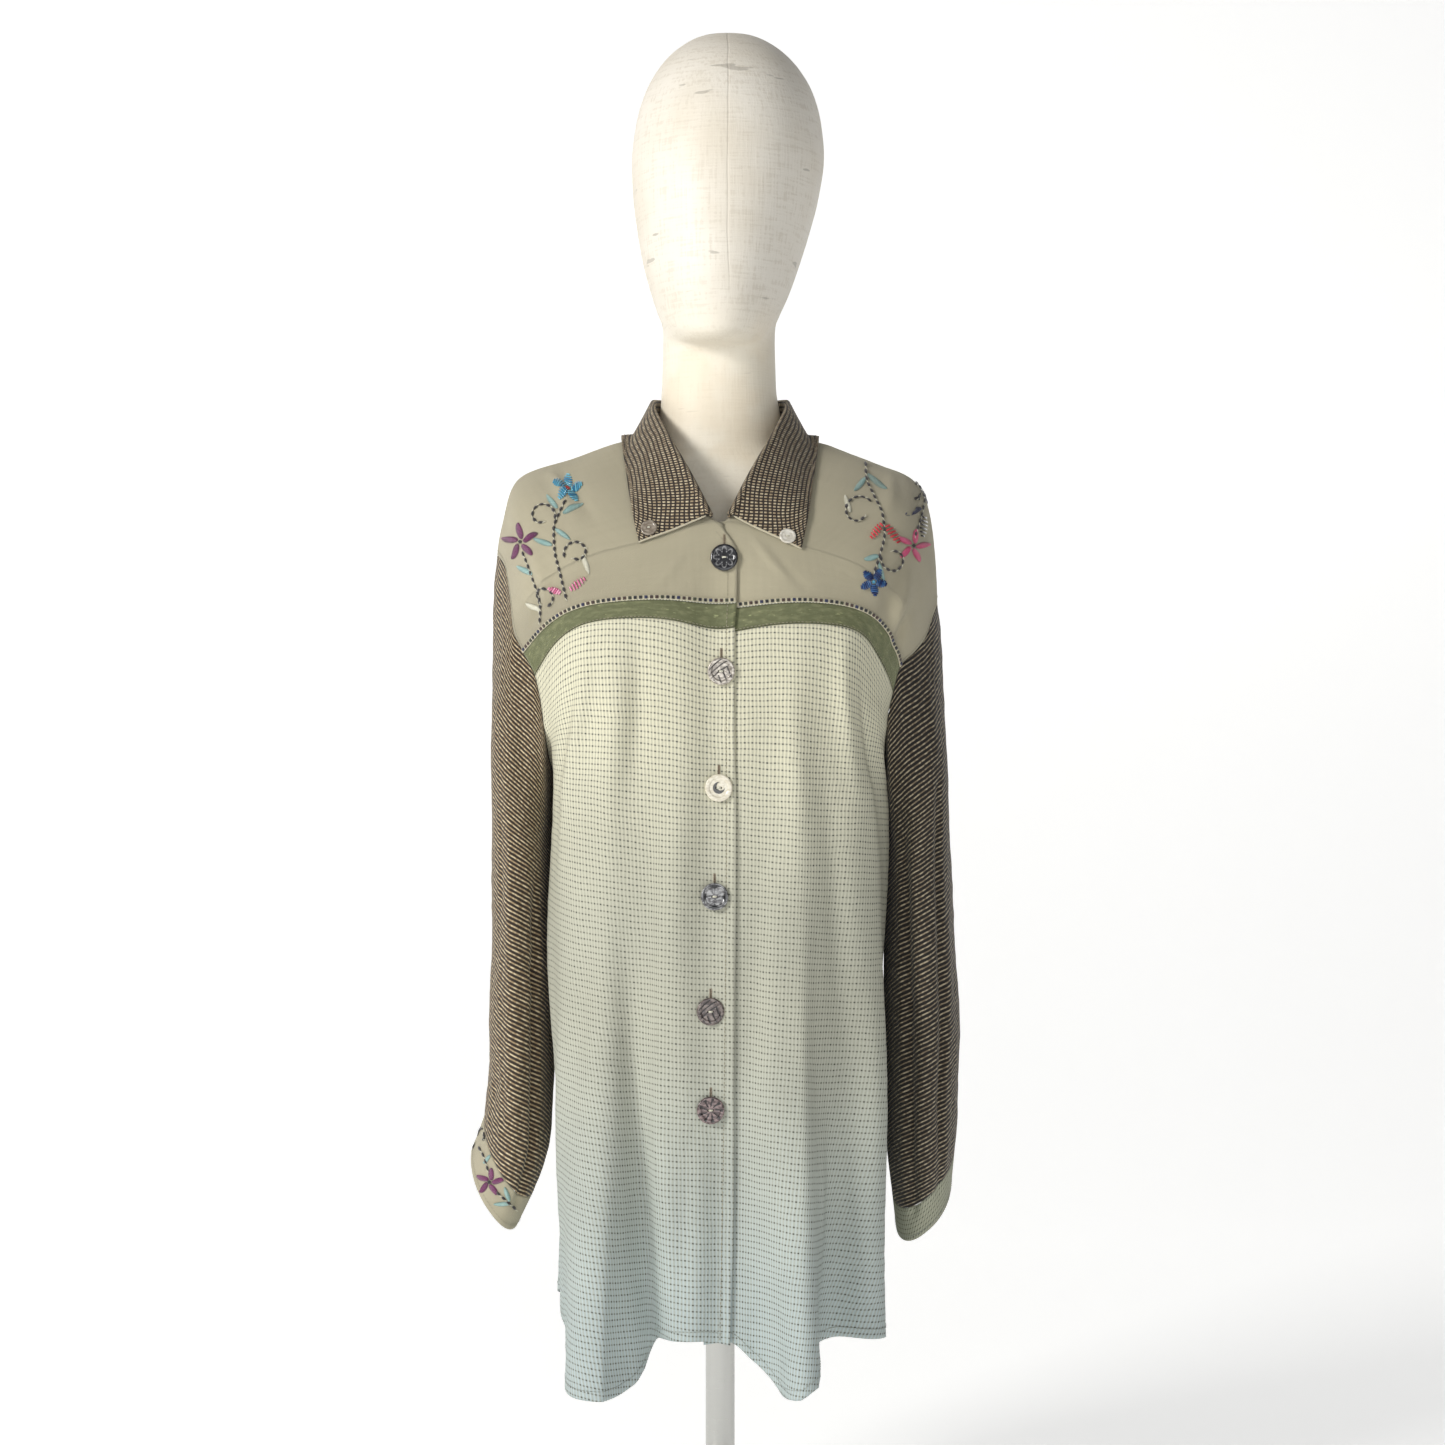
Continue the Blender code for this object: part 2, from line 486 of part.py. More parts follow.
def vent(level):
    """How far the side slit has opened, as a share of the half."""
    return VENT_SPREAD * ease((np.abs(level) - VENT_TOP) / (HEM - VENT_TOP))


# Walls
OUTSIDES = {}


def boundary_edges(faces):
    """The edges of one face only, each in that face's direction."""
    seen = {}
    for face in faces:
        for a, b in zip(face, (*face[1:], face[0])):
            seen[(a, b)] = True
    return [(a, b) for a, b in seen if (b, a) not in seen]


def halved(points, quads):
    """Each quad cut along its shorter diagonal, so that a wall's two faces fold the same way."""
    triangles = []
    for a, b, c, d in quads:
        if np.linalg.norm(points[a] - points[c]) <= np.linalg.norm(points[b] - points[d]):
            triangles += [(a, b, c), (a, c, d)]
        else:
            triangles += [(a, b, d), (b, c, d)]
    return triangles


def wall(name, outer, inner, faces, finish):
    """A closed wall from its outer points, the inner points behind them, and the outer faces."""
    count = len(outer)
    first, second, third = np.array([face[:3] for face in faces]).T
    facing = np.cross(outer[second] - outer[first], outer[third] - outer[first])
    if ((outer - inner)[first] * facing).sum() < 0:
        faces = [tuple(reversed(face)) for face in faces]
    faces = halved(outer, faces)
    OUTSIDES[name] = (outer.tolist(), faces)
    sides = [tuple(f) for f in faces]
    sides += [tuple(i + count for i in reversed(f)) for f in faces]
    sides += [(b, a, a + count, b + count) for a, b in boundary_edges(faces)]
    mesh = bpy.data.meshes.new(name)
    mesh.from_pydata(np.concatenate([outer, inner]).tolist(), [], sides)
    mesh.validate()
    return add_object(name, turned_out(mesh), finish)


def turned_out(mesh):
    """The mesh with its faces pointing out."""
    shape = bmesh.new()
    shape.from_mesh(mesh)
    bmesh.ops.recalc_face_normals(shape, faces=shape.faces[:])
    if shape.calc_volume(signed=True) < 0:
        bmesh.ops.reverse_faces(shape, faces=shape.faces[:])
    shape.to_mesh(mesh)
    shape.free()
    return mesh


def grid_faces(rows, columns, closed=False, first=0):
    """The quads of a grid of points, joined round if it is closed."""
    quads = []
    last = columns if closed else columns - 1
    for r in range(rows - 1):
        for c in range(last):
            d = (c + 1) % columns
            quads.append((first + r * columns + c, first + r * columns + d,
                          first + (r + 1) * columns + d, first + (r + 1) * columns + c))
    return quads


def merged(points, others, faces):
    """Points that coincide made one, with the same for what goes with them."""
    keys = {}
    index = []
    for p in np.round(points, 6):
        index.append(keys.setdefault(tuple(p), len(keys)))
    index = np.array(index)
    kept = np.unique(index, return_index=True)[1]
    joined = np.zeros((len(kept), 3))
    np.add.at(joined, index, others)
    return points[kept], unit(joined), [tuple(int(index[i]) for i in f) for f in faces]


def half_grid(side, columns, rows):
    """A grid over part of half the blouse: its columns and a row of levels for each of its rows."""
    level = np.stack([np.broadcast_to(row, columns.shape) for row in rows])
    places = np.broadcast_to(columns, level.shape).copy()
    places = places * (1 - vent(level))
    if rows[0][0] < 0:
        start = lap_start(side, level)
        places = start + (1 - start) * places
    return places, level


def flat_rows(levels, columns):
    return [np.full_like(columns, level) for level in levels]


def down_to(hem, fixed, count):
    """Rows at fixed levels to the armpit, then evenly down to the hem."""
    last = fixed[-1]
    even = [last + (hem - last) * i / count for i in range(1, count + 1)]
    return flat_rows(fixed, hem) + even


def body_panel(name, side, columns, rows, finish):
    """One panel of a front."""
    places, level = half_grid(side, columns, rows)
    outer = body_points(side, places, level).reshape(-1, 3)
    normals = body_normals(side, places, level).reshape(-1, 3)
    return wall(name, outer, outer - CLOTH * normals, grid_faces(*level.shape), finish)


def back_panel(name, columns, rows, finish):
    """A panel of the back, in one piece across both halves. rows: its levels on each side."""
    points, normals, faces = [], [], []
    count = 0
    for side in (LEFT, RIGHT):
        places, level = half_grid(side, columns, rows[side])
        points.append(body_points(side, places, level).reshape(-1, 3))
        normals.append(body_normals(side, places, level).reshape(-1, 3))
        quads = grid_faces(*level.shape, first=count)
        faces += quads if side == RIGHT else [tuple(reversed(q)) for q in quads]
        count += len(points[-1])
    outer, facing, faces = merged(np.concatenate(points), np.concatenate(normals), faces)
    return wall(name, outer, outer - CLOTH * facing, faces, finish)


SIDE_END = 1 - SEAM / 2 / HALF_WIDTH
FRONT_COLUMNS = {
    LEFT: np.array([0, .08, .16, .21, .25, .285, .32, .355, .40, .46, .54, .62, .71, .80, .88, .95, SIDE_END]),
    RIGHT: np.array([0, .08, .15, .22, .28, .33, .37, .40, .44, .49, .56, .64, .73, .81, .88, .95, SIDE_END]),
}
BACK_COLUMNS = np.array([0, .08, .16, .24, .32, .40, .48, .56, .64, .72, .80, .88, .95, SIDE_END])
# The levels of the panels' rows down to the armpit, where the sleeve's columns start too.
YOKE_LEVELS = [0, -.025, -.05, -.075, -.10, -.125, -.15, -.172, YOKE_SEAM]
FRONT_LEVELS = [BAND_SEAM, -.25, -.285, -.32, -.345, -ARMPIT]
BACK_YOKE_LEVELS = [0, .02, .04, .06, .075, .09, .10, .11, .14, .17, BACK_YOKE_SEAM]
BACK_LEVELS = [BACK_YOKE_SEAM, .24, .28, .32, .345, ARMPIT]
FRONT_ROWS, BACK_ROWS = 11, 10


def seamed(levels, start, end):
    """The levels with the first and the last moved in from their seams."""
    return [levels[0] + start * SEAM / 2, *levels[1:-1], levels[-1] + end * SEAM / 2]


def build_fronts():
    for side, front in ((LEFT, "right"), (RIGHT, "left")):
        columns = FRONT_COLUMNS[side]
        yoke = flat_rows(seamed(YOKE_LEVELS, -1, 1), columns)
        band = flat_rows(seamed([YOKE_SEAM, BAND_SEAM], -1, 1), columns)
        panel = down_to(hem_level(side, "front", columns), seamed(FRONT_LEVELS, -1, 0), FRONT_ROWS)
        body_panel(f"yoke_front_{front}", side, columns, yoke, "khaki")
        body_panel(f"band_{front}", side, columns, band, "velvet")
        body_panel(f"front_{front}", side, columns, panel, "check")


def build_backs():
    columns = BACK_COLUMNS
    yoke = flat_rows(seamed(BACK_YOKE_LEVELS, 1, -1), columns)
    panel = {}
    for side in SECTIONS:
        panel[side] = down_to(hem_level(side, "back", columns), seamed(BACK_LEVELS, 1, 0), BACK_ROWS)
    back_panel("yoke_back", columns, {LEFT: yoke, RIGHT: yoke}, "khaki")
    back_panel("back", columns, panel, "check")


# Sleeves and cuffs
def armhole(side, round_it):
    """The armhole's line and the blouse's outward direction there. round_it: 0 at the shoulder, 0.5 below."""
    level = np.where(round_it <= 0.5, -2 * ARMPIT * round_it, 2 * ARMPIT * (1 - round_it))
    edge = np.ones_like(level)
    return body_points(side, edge, level), body_normals(side, edge, level)


def oval(side, round_it, along):
    """Points of the sleeve's rings, before they meet the armhole and before its folds."""
    rows = SLEEVE_RINGS[side]
    out, y, z, wide, deep, rise_out, rise_back = np.moveaxis(
        smooth([row.along for row in rows], [row[1:] for row in rows], along), -1, 0)
    angle = 2 * math.pi * round_it
    step_out = wide * np.sign(np.cos(angle)) * np.abs(np.cos(angle)) ** OVAL_POWER
    step_y = -deep * np.sin(angle)
    height = z + rise_out * step_out + rise_back * step_y
    return np.stack([side * (out + step_out), y + step_y, height], axis=-1)


def sleeve_points(side, round_it, along):
    """Points of the sleeve's outer surface: rings that start on the armhole, with its folds."""
    points = oval(side, round_it, along)
    start = np.zeros_like(along)
    missing = armhole(side, round_it)[0] - oval(side, round_it, start)
    points = points + missing * (1 - ease(along / SLEEVE_JOIN))[..., None]
    angle = 2 * math.pi * round_it
    outward = np.stack([side * np.cos(angle), -np.sin(angle), np.zeros_like(angle)], axis=-1)
    depth = np.zeros_like(along)
    for fold in SLEEVE_FOLDS[side]:
        share = np.clip((along - fold.start) / (fold.end - fold.start), 0, 1)
        place = fold.round_top + (fold.round_end - fold.round_top) * share
        strength = ease(share / FOLD_GROWS) * (1 - 0.5 * ease((share - 1 + FOLD_SHRINKS) / FOLD_SHRINKS))
        depth += fold.depth * strength * bump(round_it - place, fold.width, fold.width)
    return points + outward * depth[..., None]


def sleeve_normals(side, round_it, along):
    step = 2e-3
    around = sleeve_points(side, (round_it + step) % 1, along)
    around -= sleeve_points(side, (round_it - step) % 1, along)
    before = np.maximum(along - step, 0)
    down = sleeve_points(side, round_it, along + step) - sleeve_points(side, round_it, before)
    return unit(np.cross(around, down)) * side


ROUND = np.array([-level / ARMPIT / 2 for level in (*YOKE_LEVELS, *FRONT_LEVELS)]
                 + [1 - level / ARMPIT / 2 for level in (*BACK_LEVELS[-2::-1], *BACK_YOKE_LEVELS[-2:0:-1])])
SLEEVE_AROUND = len(ROUND)
SLEEVE_ALONG = np.array([0, .04, .09, .15, .21, .28, .35, .42, .49, .56, .63, .70, .77, .83, .89, .945, 1.0])
CUFF_DOWN = np.array([0, 0.33, 0.67, 1.0])


def build_sleeve(side, name):
    round_it, along = np.meshgrid(ROUND, SLEEVE_ALONG)
    outer = sleeve_points(side, round_it, along)
    normals = sleeve_normals(side, round_it, along)
    down = unit(outer[1] - outer[0])
    around = np.roll(outer[0], -1, 0) - np.roll(outer[0], 1, 0)
    normals[0] = unit(np.cross(around, down)) * side
    body_out = armhole(side, ROUND)[1]
    turn = 1 - (normals[0] * body_out).sum(axis=1, keepdims=True)
    outer[0] += ARMHOLE_GAP * (down + np.clip(turn, 0, 1) * body_out)
    inner = outer - CLOTH * normals
    wall(name, outer.reshape(-1, 3), inner.reshape(-1, 3),
         grid_faces(len(SLEEVE_ALONG), SLEEVE_AROUND, closed=True), "tweed")


def cuff_points(side, round_it, down):
    """Points of the cuff's outer surface, down it from the seam to its edge."""
    end = np.ones_like(round_it)
    top, even = sleeve_points(side, round_it, end), oval(side, round_it, end)
    middle = oval(side, np.array([0.0, 0.25, 0.5, 0.75]), np.ones(4)).mean(axis=0)
    axis = unit(np.array(CUFF_AXIS[side])) * (side, 1, 1)
    size = 1 - (1 - CUFF_TAPER[side]) * down[..., None]
    ring = top + (even - top) * ease(2 * down)[..., None]
    return middle + (ring - middle) * size + axis * (CUFF_SEAM + CUFF_HEIGHT * down[..., None])


def build_cuff(side, name, finish):
    round_it, down = np.meshgrid(ROUND, CUFF_DOWN)
    outer = cuff_points(side, round_it, down)
    around = np.roll(outer, -1, 1) - np.roll(outer, 1, 1)
    axis = unit(np.array(CUFF_AXIS[side])) * (side, 1, 1)
    normals = unit(np.cross(around, np.broadcast_to(axis, around.shape))) * side
    normals[0] = sleeve_normals(side, round_it[0], np.ones(SLEEVE_AROUND))
    inner = outer - CLOTH * normals
    wall(name, outer.reshape(-1, 3), inner.reshape(-1, 3),
         grid_faces(len(CUFF_DOWN), SLEEVE_AROUND, closed=True), finish)


# Finding places on pieces that are made
def tree_of(*names):
    """The outer surfaces of the pieces named, to find places on."""
    points, faces = [], []
    for name in names:
        first = len(points)
        points += OUTSIDES[name][0]
        faces += [tuple(first + i for i in face) for face in OUTSIDES[name][1]]
    return BVHTree.FromPolygons(points, faces)


def height_over(tree, point):
    """The direction of a surface at its nearest place, and how far outside it and beside it the point is."""
    place, normal, _, distance = tree.find_nearest(Vector(point))
    height = float((Vector(point) - place).dot(normal))
    return np.array(normal), height, math.sqrt(max(distance**2 - height**2, 0))


def from_front(tree, x, z):
    """Where a line from the front meets the surface, if it does."""
    return tree.ray_cast(Vector((x, -1.0, z)), Vector((0, 1, 0)))[0]


# The collar
COLLAR_FRONT = [-.0125, -.025, -.0375, -.05, -.0625, -.075, -.0875, -.10, -.111, NECK_FRONT]
COLLAR_LEVELS = [*BACK_YOKE_LEVELS[7::-1], *COLLAR_FRONT]
# The collar's corner hangs lower on the side to which the blouse hangs.
COLLAR_DROP = {LEFT: 0.0, RIGHT: 0.006}


def collar_line(side, level):
    """Points across the collar at one place round it: up its stand, over its roll and down its fall."""
    fold, outer = smooth([-row.level for row in COLLAR], [[*row.fold, *row.outer] for row in COLLAR],
                         np.array([-level]))[0].reshape(2, 3)
    seam = body_points(side, np.array([0.0]), np.array([level]))[0] * (side, 1, 1)
    up = unit(fold - seam)
    outwards = unit(outer - fold - up * ((outer - fold) @ up))
    centre = fold - up * COLLAR_ROLL + outwards * COLLAR_ROLL
    points = [seam + up * SEAM * 3, seam + 0.5 * (fold - up * COLLAR_ROLL - seam)]
    for turn in ROLL_TURNS:
        a = math.radians(turn)
        points.append(centre + COLLAR_ROLL * (up * math.sin(a) - outwards * math.cos(a)))
    start = points[-1]
    outer[2] -= COLLAR_DROP[side] * ease(level / NECK_FRONT)
    points += [start + (outer - start) * share for share in FALL_SHARES]
    return np.array(points) * (side, 1, 1)


def build_collar():
    tree = tree_of("yoke_front_right", "yoke_front_left", "yoke_back")
    lines = []
    for side in (LEFT, RIGHT):
        half = [collar_line(side, level) for level in COLLAR_LEVELS]
        lines += half[::-1] if side == LEFT else half[1:]
    points = np.array(lines)
    for row in points:
        for point in row[-len(FALL_SHARES) - 1:]:
            normal, height, _ = height_over(tree, point)
            rest = COLLAR_REST + COLLAR_RIDGE * bump(point[1], RIDGE_REACH, RIDGE_REACH)
            point += normal * max(COLLAR_CLOTH + rest - height, 0)
    around = np.gradient(points, axis=0)
    across = np.gradient(points, axis=1)
    normals = unit(np.cross(around, across))
    return wall("collar", points.reshape(-1, 3), (points - COLLAR_CLOTH * normals).reshape(-1, 3),
                grid_faces(*points.shape[:2]), "tweed")


# Buttons
def turned(name, profile, finish, sides):
    """A solid turned round its own Z axis from a profile that runs down its outer side."""
    shape = bmesh.new()
    points = [shape.verts.new((radius, 0, z)) for radius, z in profile]
    lines = [shape.edges.new(pair) for pair in zip(points, points[1:])]
    bmesh.ops.spin(shape, geom=points + lines, axis=(0, 0, 1), steps=sides, angle=2 * math.pi, use_merge=True)
    bmesh.ops.remove_doubles(shape, verts=shape.verts[:], dist=MERGE)
    mesh = bpy.data.meshes.new(name)
    shape.to_mesh(mesh)
    shape.free()
    return add_object(name, turned_out(mesh), finish)


def build_button(name, place, normal, radius, thick, finish, sides):
    """A round button with a raised rim, lying on the cloth."""
    obj = turned(name, [(radius * out, thick * up) for out, up in BUTTON_PROFILE], finish, sides)
    obj.location = place + normal * SEAM
    obj.rotation_mode = "QUATERNION"
    obj.rotation_quaternion = normal.to_track_quat("Z", "Y")


def flat_place(tree, x, z, radius):
    """The place and direction of a flat disc that rests on a piece's highest points round there."""
    hits = []
    for r in (0.0, 0.5 * radius, radius):
        for a in np.linspace(0, 2 * math.pi, SEAT_PLACES, endpoint=False):
            place = from_front(tree, x + r * math.cos(a), z + r * math.sin(a))
            if place is not None:
                hits.append(place)
    hits = np.array(hits)
    terms = np.stack([np.ones(len(hits)), hits[:, 0], hits[:, 2]], axis=1)
    slopes = np.linalg.lstsq(terms, hits[:, 1], rcond=None)[0]
    normal = unit(np.array([slopes[1], -1.0, slopes[2]]))
    lift = ((hits - hits[0]) @ normal).max()
    return Vector(hits[0] + normal * lift), Vector(normal)


def build_buttons():
    tree = tree_of("yoke_front_right", "front_right")
    for row in FRONT_BUTTONS:
        place, normal = flat_place(tree, row.x, row.z, BUTTON_RADIUS)
        build_button(row.name, place, normal, BUTTON_RADIUS, BUTTON_THICK, row.finish, 20)
    tree = tree_of("collar")
    for row in COLLAR_BUTTONS:
        place, normal = flat_place(tree, row.x, row.z, SMALL_RADIUS)
        build_button(row.name, place, normal, SMALL_RADIUS, SMALL_THICK, row.finish, 14)


# The dress form
def ring_points(row):
    angle = np.arange(FORM_AROUND) * 2 * math.pi / FORM_AROUND
    c, s = np.cos(angle), np.sin(angle)
    power = 2 / row.squareness
    x = row.lean + row.wide * np.sign(c) * np.abs(c) ** power
    depth = np.where(s < 0, row.front, row.back)
    y = depth * np.sign(s) * np.abs(s) ** power
    return np.stack([x, y, row.z + row.tilt * y], axis=1)


def closed_loft(name, rings, finish):
    """A solid through rings of points, with flat ends."""
    points = np.concatenate(rings)
    columns = len(rings[0])
    faces = grid_faces(len(rings), columns, closed=True)
    faces.append(tuple(reversed(range(columns))))
    faces.append(tuple(range(len(points) - columns, len(points))))
    mesh = bpy.data.meshes.new(name)
    mesh.from_pydata(points.tolist(), [], faces)
    return add_object(name, turned_out(mesh), finish)


def build_form():
    """The torso, neck and egg head in one, clear of the blouse but where it rests on the shoulders."""
    tree = tree_of("yoke_front_right", "yoke_front_left", "yoke_back")
    rings = [ring_points(row) for row in FORM]
    for point in (p for ring in rings for p in ring if FITTED_FROM < p[2] < FITTED_TO):
        out, deep, height = np.abs(point)
        resting = height > SHOULDER_HEIGHT and out > SHOULDER_OUT and deep < SHOULDER_DEEP
        normal, height, beside = height_over(tree, point)
        if beside > COVERED:
            continue
        room = CLOTH + (SHOULDER_REST if resting else SHOULDER_CLEAR)
        if height > -room or (resting and height > -SHOULDER_RAISE):
            point += normal * (-room - height)
    closed_loft("dress_form", rings, "linen")


def build_stand():
    top = FORM[0].z - SEAM
    foot = BASE_TOP + SEAM
    pole = [(0, top), (SOCKET_RADIUS, top), (SOCKET_RADIUS, top - SOCKET_HEIGHT),
            (POLE_RADIUS, top - 2 * SOCKET_HEIGHT), (POLE_RADIUS, foot), (0, foot)]
    base = [(0, BASE_TOP), (HUB_RADIUS, BASE_TOP), (HUB_RADIUS * 1.5, BASE_TOP * 0.6),
            (BASE_RADIUS * 0.96, BASE_EDGE * 1.6), (BASE_RADIUS, BASE_EDGE), (BASE_RADIUS, 0), (0, 0)]
    turned("pole", pole, "steel", 24)
    turned("base", base, "steel", 40)


clear_scene()
PARTS = new_collection("embroidered_blouse_on_dress_form")
build_fronts()
build_backs()
for side, word, cuff in ((LEFT, "right", "khaki"), (RIGHT, "left", "check")):
    build_sleeve(side, f"sleeve_{word}")
    build_cuff(side, f"cuff_{word}", cuff)
build_collar()
build_buttons()
build_form()
build_stand()
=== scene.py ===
# %% [markdown]
# # A long embroidered blouse on a limbless dress form
#
# The blouse is cut from four cloths: plain khaki for the yokes and one cuff, a thin checked cotton for the body,
# a dark dashed weave for the sleeves and the collar, and an olive velvet ribbon under the yoke. Every cloth piece
# here is a surface worked out from a short table of sections, finely enough to carry soft creases, and its
# weave is drawn in metres of cloth, so that the threads keep their size wherever the cloth bends.

import math
from collections import namedtuple

import bpy
import numpy as np
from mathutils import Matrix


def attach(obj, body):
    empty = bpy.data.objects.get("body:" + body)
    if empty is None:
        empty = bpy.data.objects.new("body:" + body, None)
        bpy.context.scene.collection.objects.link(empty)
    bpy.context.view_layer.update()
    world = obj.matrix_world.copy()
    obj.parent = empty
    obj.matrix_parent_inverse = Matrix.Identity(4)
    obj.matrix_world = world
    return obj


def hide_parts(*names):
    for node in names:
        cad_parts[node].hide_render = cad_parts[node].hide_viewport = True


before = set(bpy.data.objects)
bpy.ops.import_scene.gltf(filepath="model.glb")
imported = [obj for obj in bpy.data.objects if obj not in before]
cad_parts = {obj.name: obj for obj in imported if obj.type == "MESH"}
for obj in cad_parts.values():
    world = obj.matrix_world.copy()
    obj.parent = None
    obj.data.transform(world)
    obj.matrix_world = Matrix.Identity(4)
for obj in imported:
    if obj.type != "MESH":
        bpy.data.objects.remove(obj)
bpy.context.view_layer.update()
print("CAD nodes:", len(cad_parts))

# %% [markdown]
# ## Camera
#
# The photo is taken level, from about two metres and a bit. A place in the picture is turned into a place in
# the upright plane through the middle of the blouse, which is how the embroidery is laid out later.

# %% Camera
CAMERA = np.array([0.002, -2.3, 0.714])
PHOTO_SIZE = 1445
VIEW_WIDTH = 1.2427

eye = bpy.data.cameras.new("camera")
eye.sensor_width = 36.0
eye.lens = 36.0 * -CAMERA[1] / VIEW_WIDTH
camera = bpy.data.objects.new("camera", eye)
camera.location = CAMERA
camera.rotation_euler = (math.pi / 2, 0, 0)
bpy.context.scene.collection.objects.link(camera)
bpy.context.scene.camera = camera


def in_picture(pixels):
    """Places in the picture plane: a pixel's distance from the middle, times the metres of one pixel."""
    from_middle = (np.asarray(pixels, float) - PHOTO_SIZE / 2) * (VIEW_WIDTH / PHOTO_SIZE)
    return CAMERA[[0, 2]] + from_middle * (1, -1)


def seen(points):
    """Where points show in the picture plane: their offset from the camera's axis, shrunk as they lie further."""
    nearer = -CAMERA[1] / (points[..., 1] - CAMERA[1])
    return CAMERA[[0, 2]] + (points[..., [0, 2]] - CAMERA[[0, 2]]) * nearer[..., None]


print("one pixel is", round(1000 * VIEW_WIDTH / PHOTO_SIZE, 2), "mm")

# %% [markdown]
# ## Curves
#
# A few short functions carry the whole garment: a curve through the rows of a table that never swings past them,
# a soft step from 0 to 1, and a soft bump for a fold.

# %% Curves
def smooth(knots, values, at):
    """Cubic pieces through the knots. Each knot's slope is a mean of its two neighbours', or 0 at a turn."""
    knots, values, at = (np.asarray(a, float) for a in (knots, values, at))
    shape = (-1,) + (1,) * (values.ndim - 1)
    steps = np.diff(knots).reshape(shape)
    slopes = np.diff(values, axis=0) / steps
    first, second = slopes[:-1], slopes[1:]
    near, far = 2 * steps[1:] + steps[:-1], steps[1:] + 2 * steps[:-1]
    same = first * second > 0
    first, second = np.where(same, first, 1), np.where(same, second, 1)
    inner = np.where(same, (near + far) / np.where(same, near / first + far / second, 1), 0)
    tangents = np.concatenate([slopes[:1], inner, slopes[-1:]])
    at = np.clip(at, knots[0], knots[-1])
    i = np.clip(np.searchsorted(knots, at, side="right") - 1, 0, len(knots) - 2)
    h = np.diff(knots)[i]
    t = (at - knots[i]) / h
    wide = at.shape + (1,) * (values.ndim - 1)
    t, h = t.reshape(wide), h.reshape(wide)
    return ((2 * t**3 - 3 * t**2 + 1) * values[i] + (t**3 - 2 * t**2 + t) * h * tangents[i]
            + (3 * t**2 - 2 * t**3) * values[i + 1] + (t**3 - t**2) * h * tangents[i + 1])


def ease(t):
    """A soft step: three squares less two cubes of t, kept between 0 and 1."""
    t = np.clip(t, 0.0, 1.0)
    return t * t * (3 - 2 * t)


def bump(distance, inner, outer):
    """Half a cosine wave on each side: 1 at a fold's crest, 0 at its two edges."""
    t = np.where(distance < 0, -distance / inner, distance / outer)
    return 0.5 + 0.5 * np.cos(math.pi * np.clip(t, 0, 1))


def unit(vectors):
    """Vectors divided by their lengths."""
    return vectors / np.maximum(np.linalg.norm(vectors, axis=-1, keepdims=True), 1e-12)


def ripples(u, v, size, count, seed):
    """A sum of sine waves in seeded directions, each about as long as the size, over the root of their count."""
    waves = np.random.default_rng(seed)
    total = 0
    for _ in range(count):
        angle, phase = waves.uniform(0, 2 * math.pi, 2)
        length = size * waves.uniform(0.7, 1.5)
        total = total + np.sin((u * math.cos(angle) + v * math.sin(angle)) * 2 * math.pi / length + phase)
    return total / math.sqrt(count)


print("a soft step at a quarter:", ease(0.25))

# %% [markdown]
# ## The cut of the blouse
#
# Half the blouse is described by sections: lines across the cloth at a given length from the shoulder seam.
# Five points hold each one, from the centre to the armhole or side seam. The other half has its own table,
# because the blouse hangs a little to that side and its armhole falls lower.

# %% Sections
MM = 0.001
LEFT, RIGHT = -1, 1
CLOTH = 0.0010
COLLAR_CLOTH = 0.0015
SEAM = 0.0003
# Levels: metres of cloth down from the shoulder seam.
ARMPIT = 0.36
HEM = 0.85
YOKE_SEAM = -0.195
BAND_SEAM = -0.217
BACK_YOKE_SEAM = 0.20
NECK_FRONT = -0.122
NECK_BACK = 0.110
VENT_TOP = 0.66
LAP_TOP = 0.125
# What a hem's level and height add up to; then metres of cloth across a half, near the centre and over all of it.
LEVEL_AND_HEIGHT = 1.010
CENTRE_SCALE = 0.18
HALF_WIDTH = 0.20
VENT_SPREAD = 0.035
LAP_STEP = 0.0021
LAP_FADE = 0.045
LAP_EVEN = 0.4
LAP_GROWS = 0.03
SIDE_NEAR = 0.03
ARMPIT_NEAR = 0.03

# Each row is a level, which is the length of cloth from the shoulder seam and less than 0 on the front, and then
# out, y and z of five points from the centre to the edge. In millimetres.
LEFT_FRONT = [
    (-850, 0, -128, 160, 50, -133, 160, 101, -120, 161, 134, -75, 163, 131, 0, 165),
    (-610, 0, -129, 400, 48, -133, 400, 100, -121, 401, 137, -78, 403, 131, 0, 405),
    (-460, 0, -130, 550, 47, -134, 550, 100, -123, 551, 139, -80, 553, 134, 0, 555),
    (-360, 0, -130, 649, 45, -134, 649, 96, -125, 651, 136, -91, 653, 139, 0, 655),
    (-320, 0, -129, 688, 42, -134, 690, 91, -127, 690, 131, -100, 688, 144, -50, 684),
    (-265, 0, -128, 742, 40, -133, 746, 87, -129, 746, 125, -111, 738, 147, -80, 716),
    (-217, 0, -126, 790, 40, -132, 797, 88, -127, 798, 127, -110, 786, 154, -78, 753),
    (-195, 0, -124, 811, 45, -130, 814, 99, -124, 811, 137, -104, 798, 164, -72, 772),
    (-135, 0, -114.5, 871, 45, -120, 858, 95, -120, 846, 142, -107, 823, 173, -66, 792),
    (-100, 27, -94, 897, 70, -101, 886, 115, -103, 875, 157, -92, 853, 176, -60, 817),
    (-50, 53, -53, 929, 90, -61, 922, 130, -65, 912, 168, -62, 893, 182, -42, 846),
    (0, 66, 3, 957, 103, 1, 949.5, 142, 0, 936, 176.5, 2, 918.5, 192, 5, 858),
]
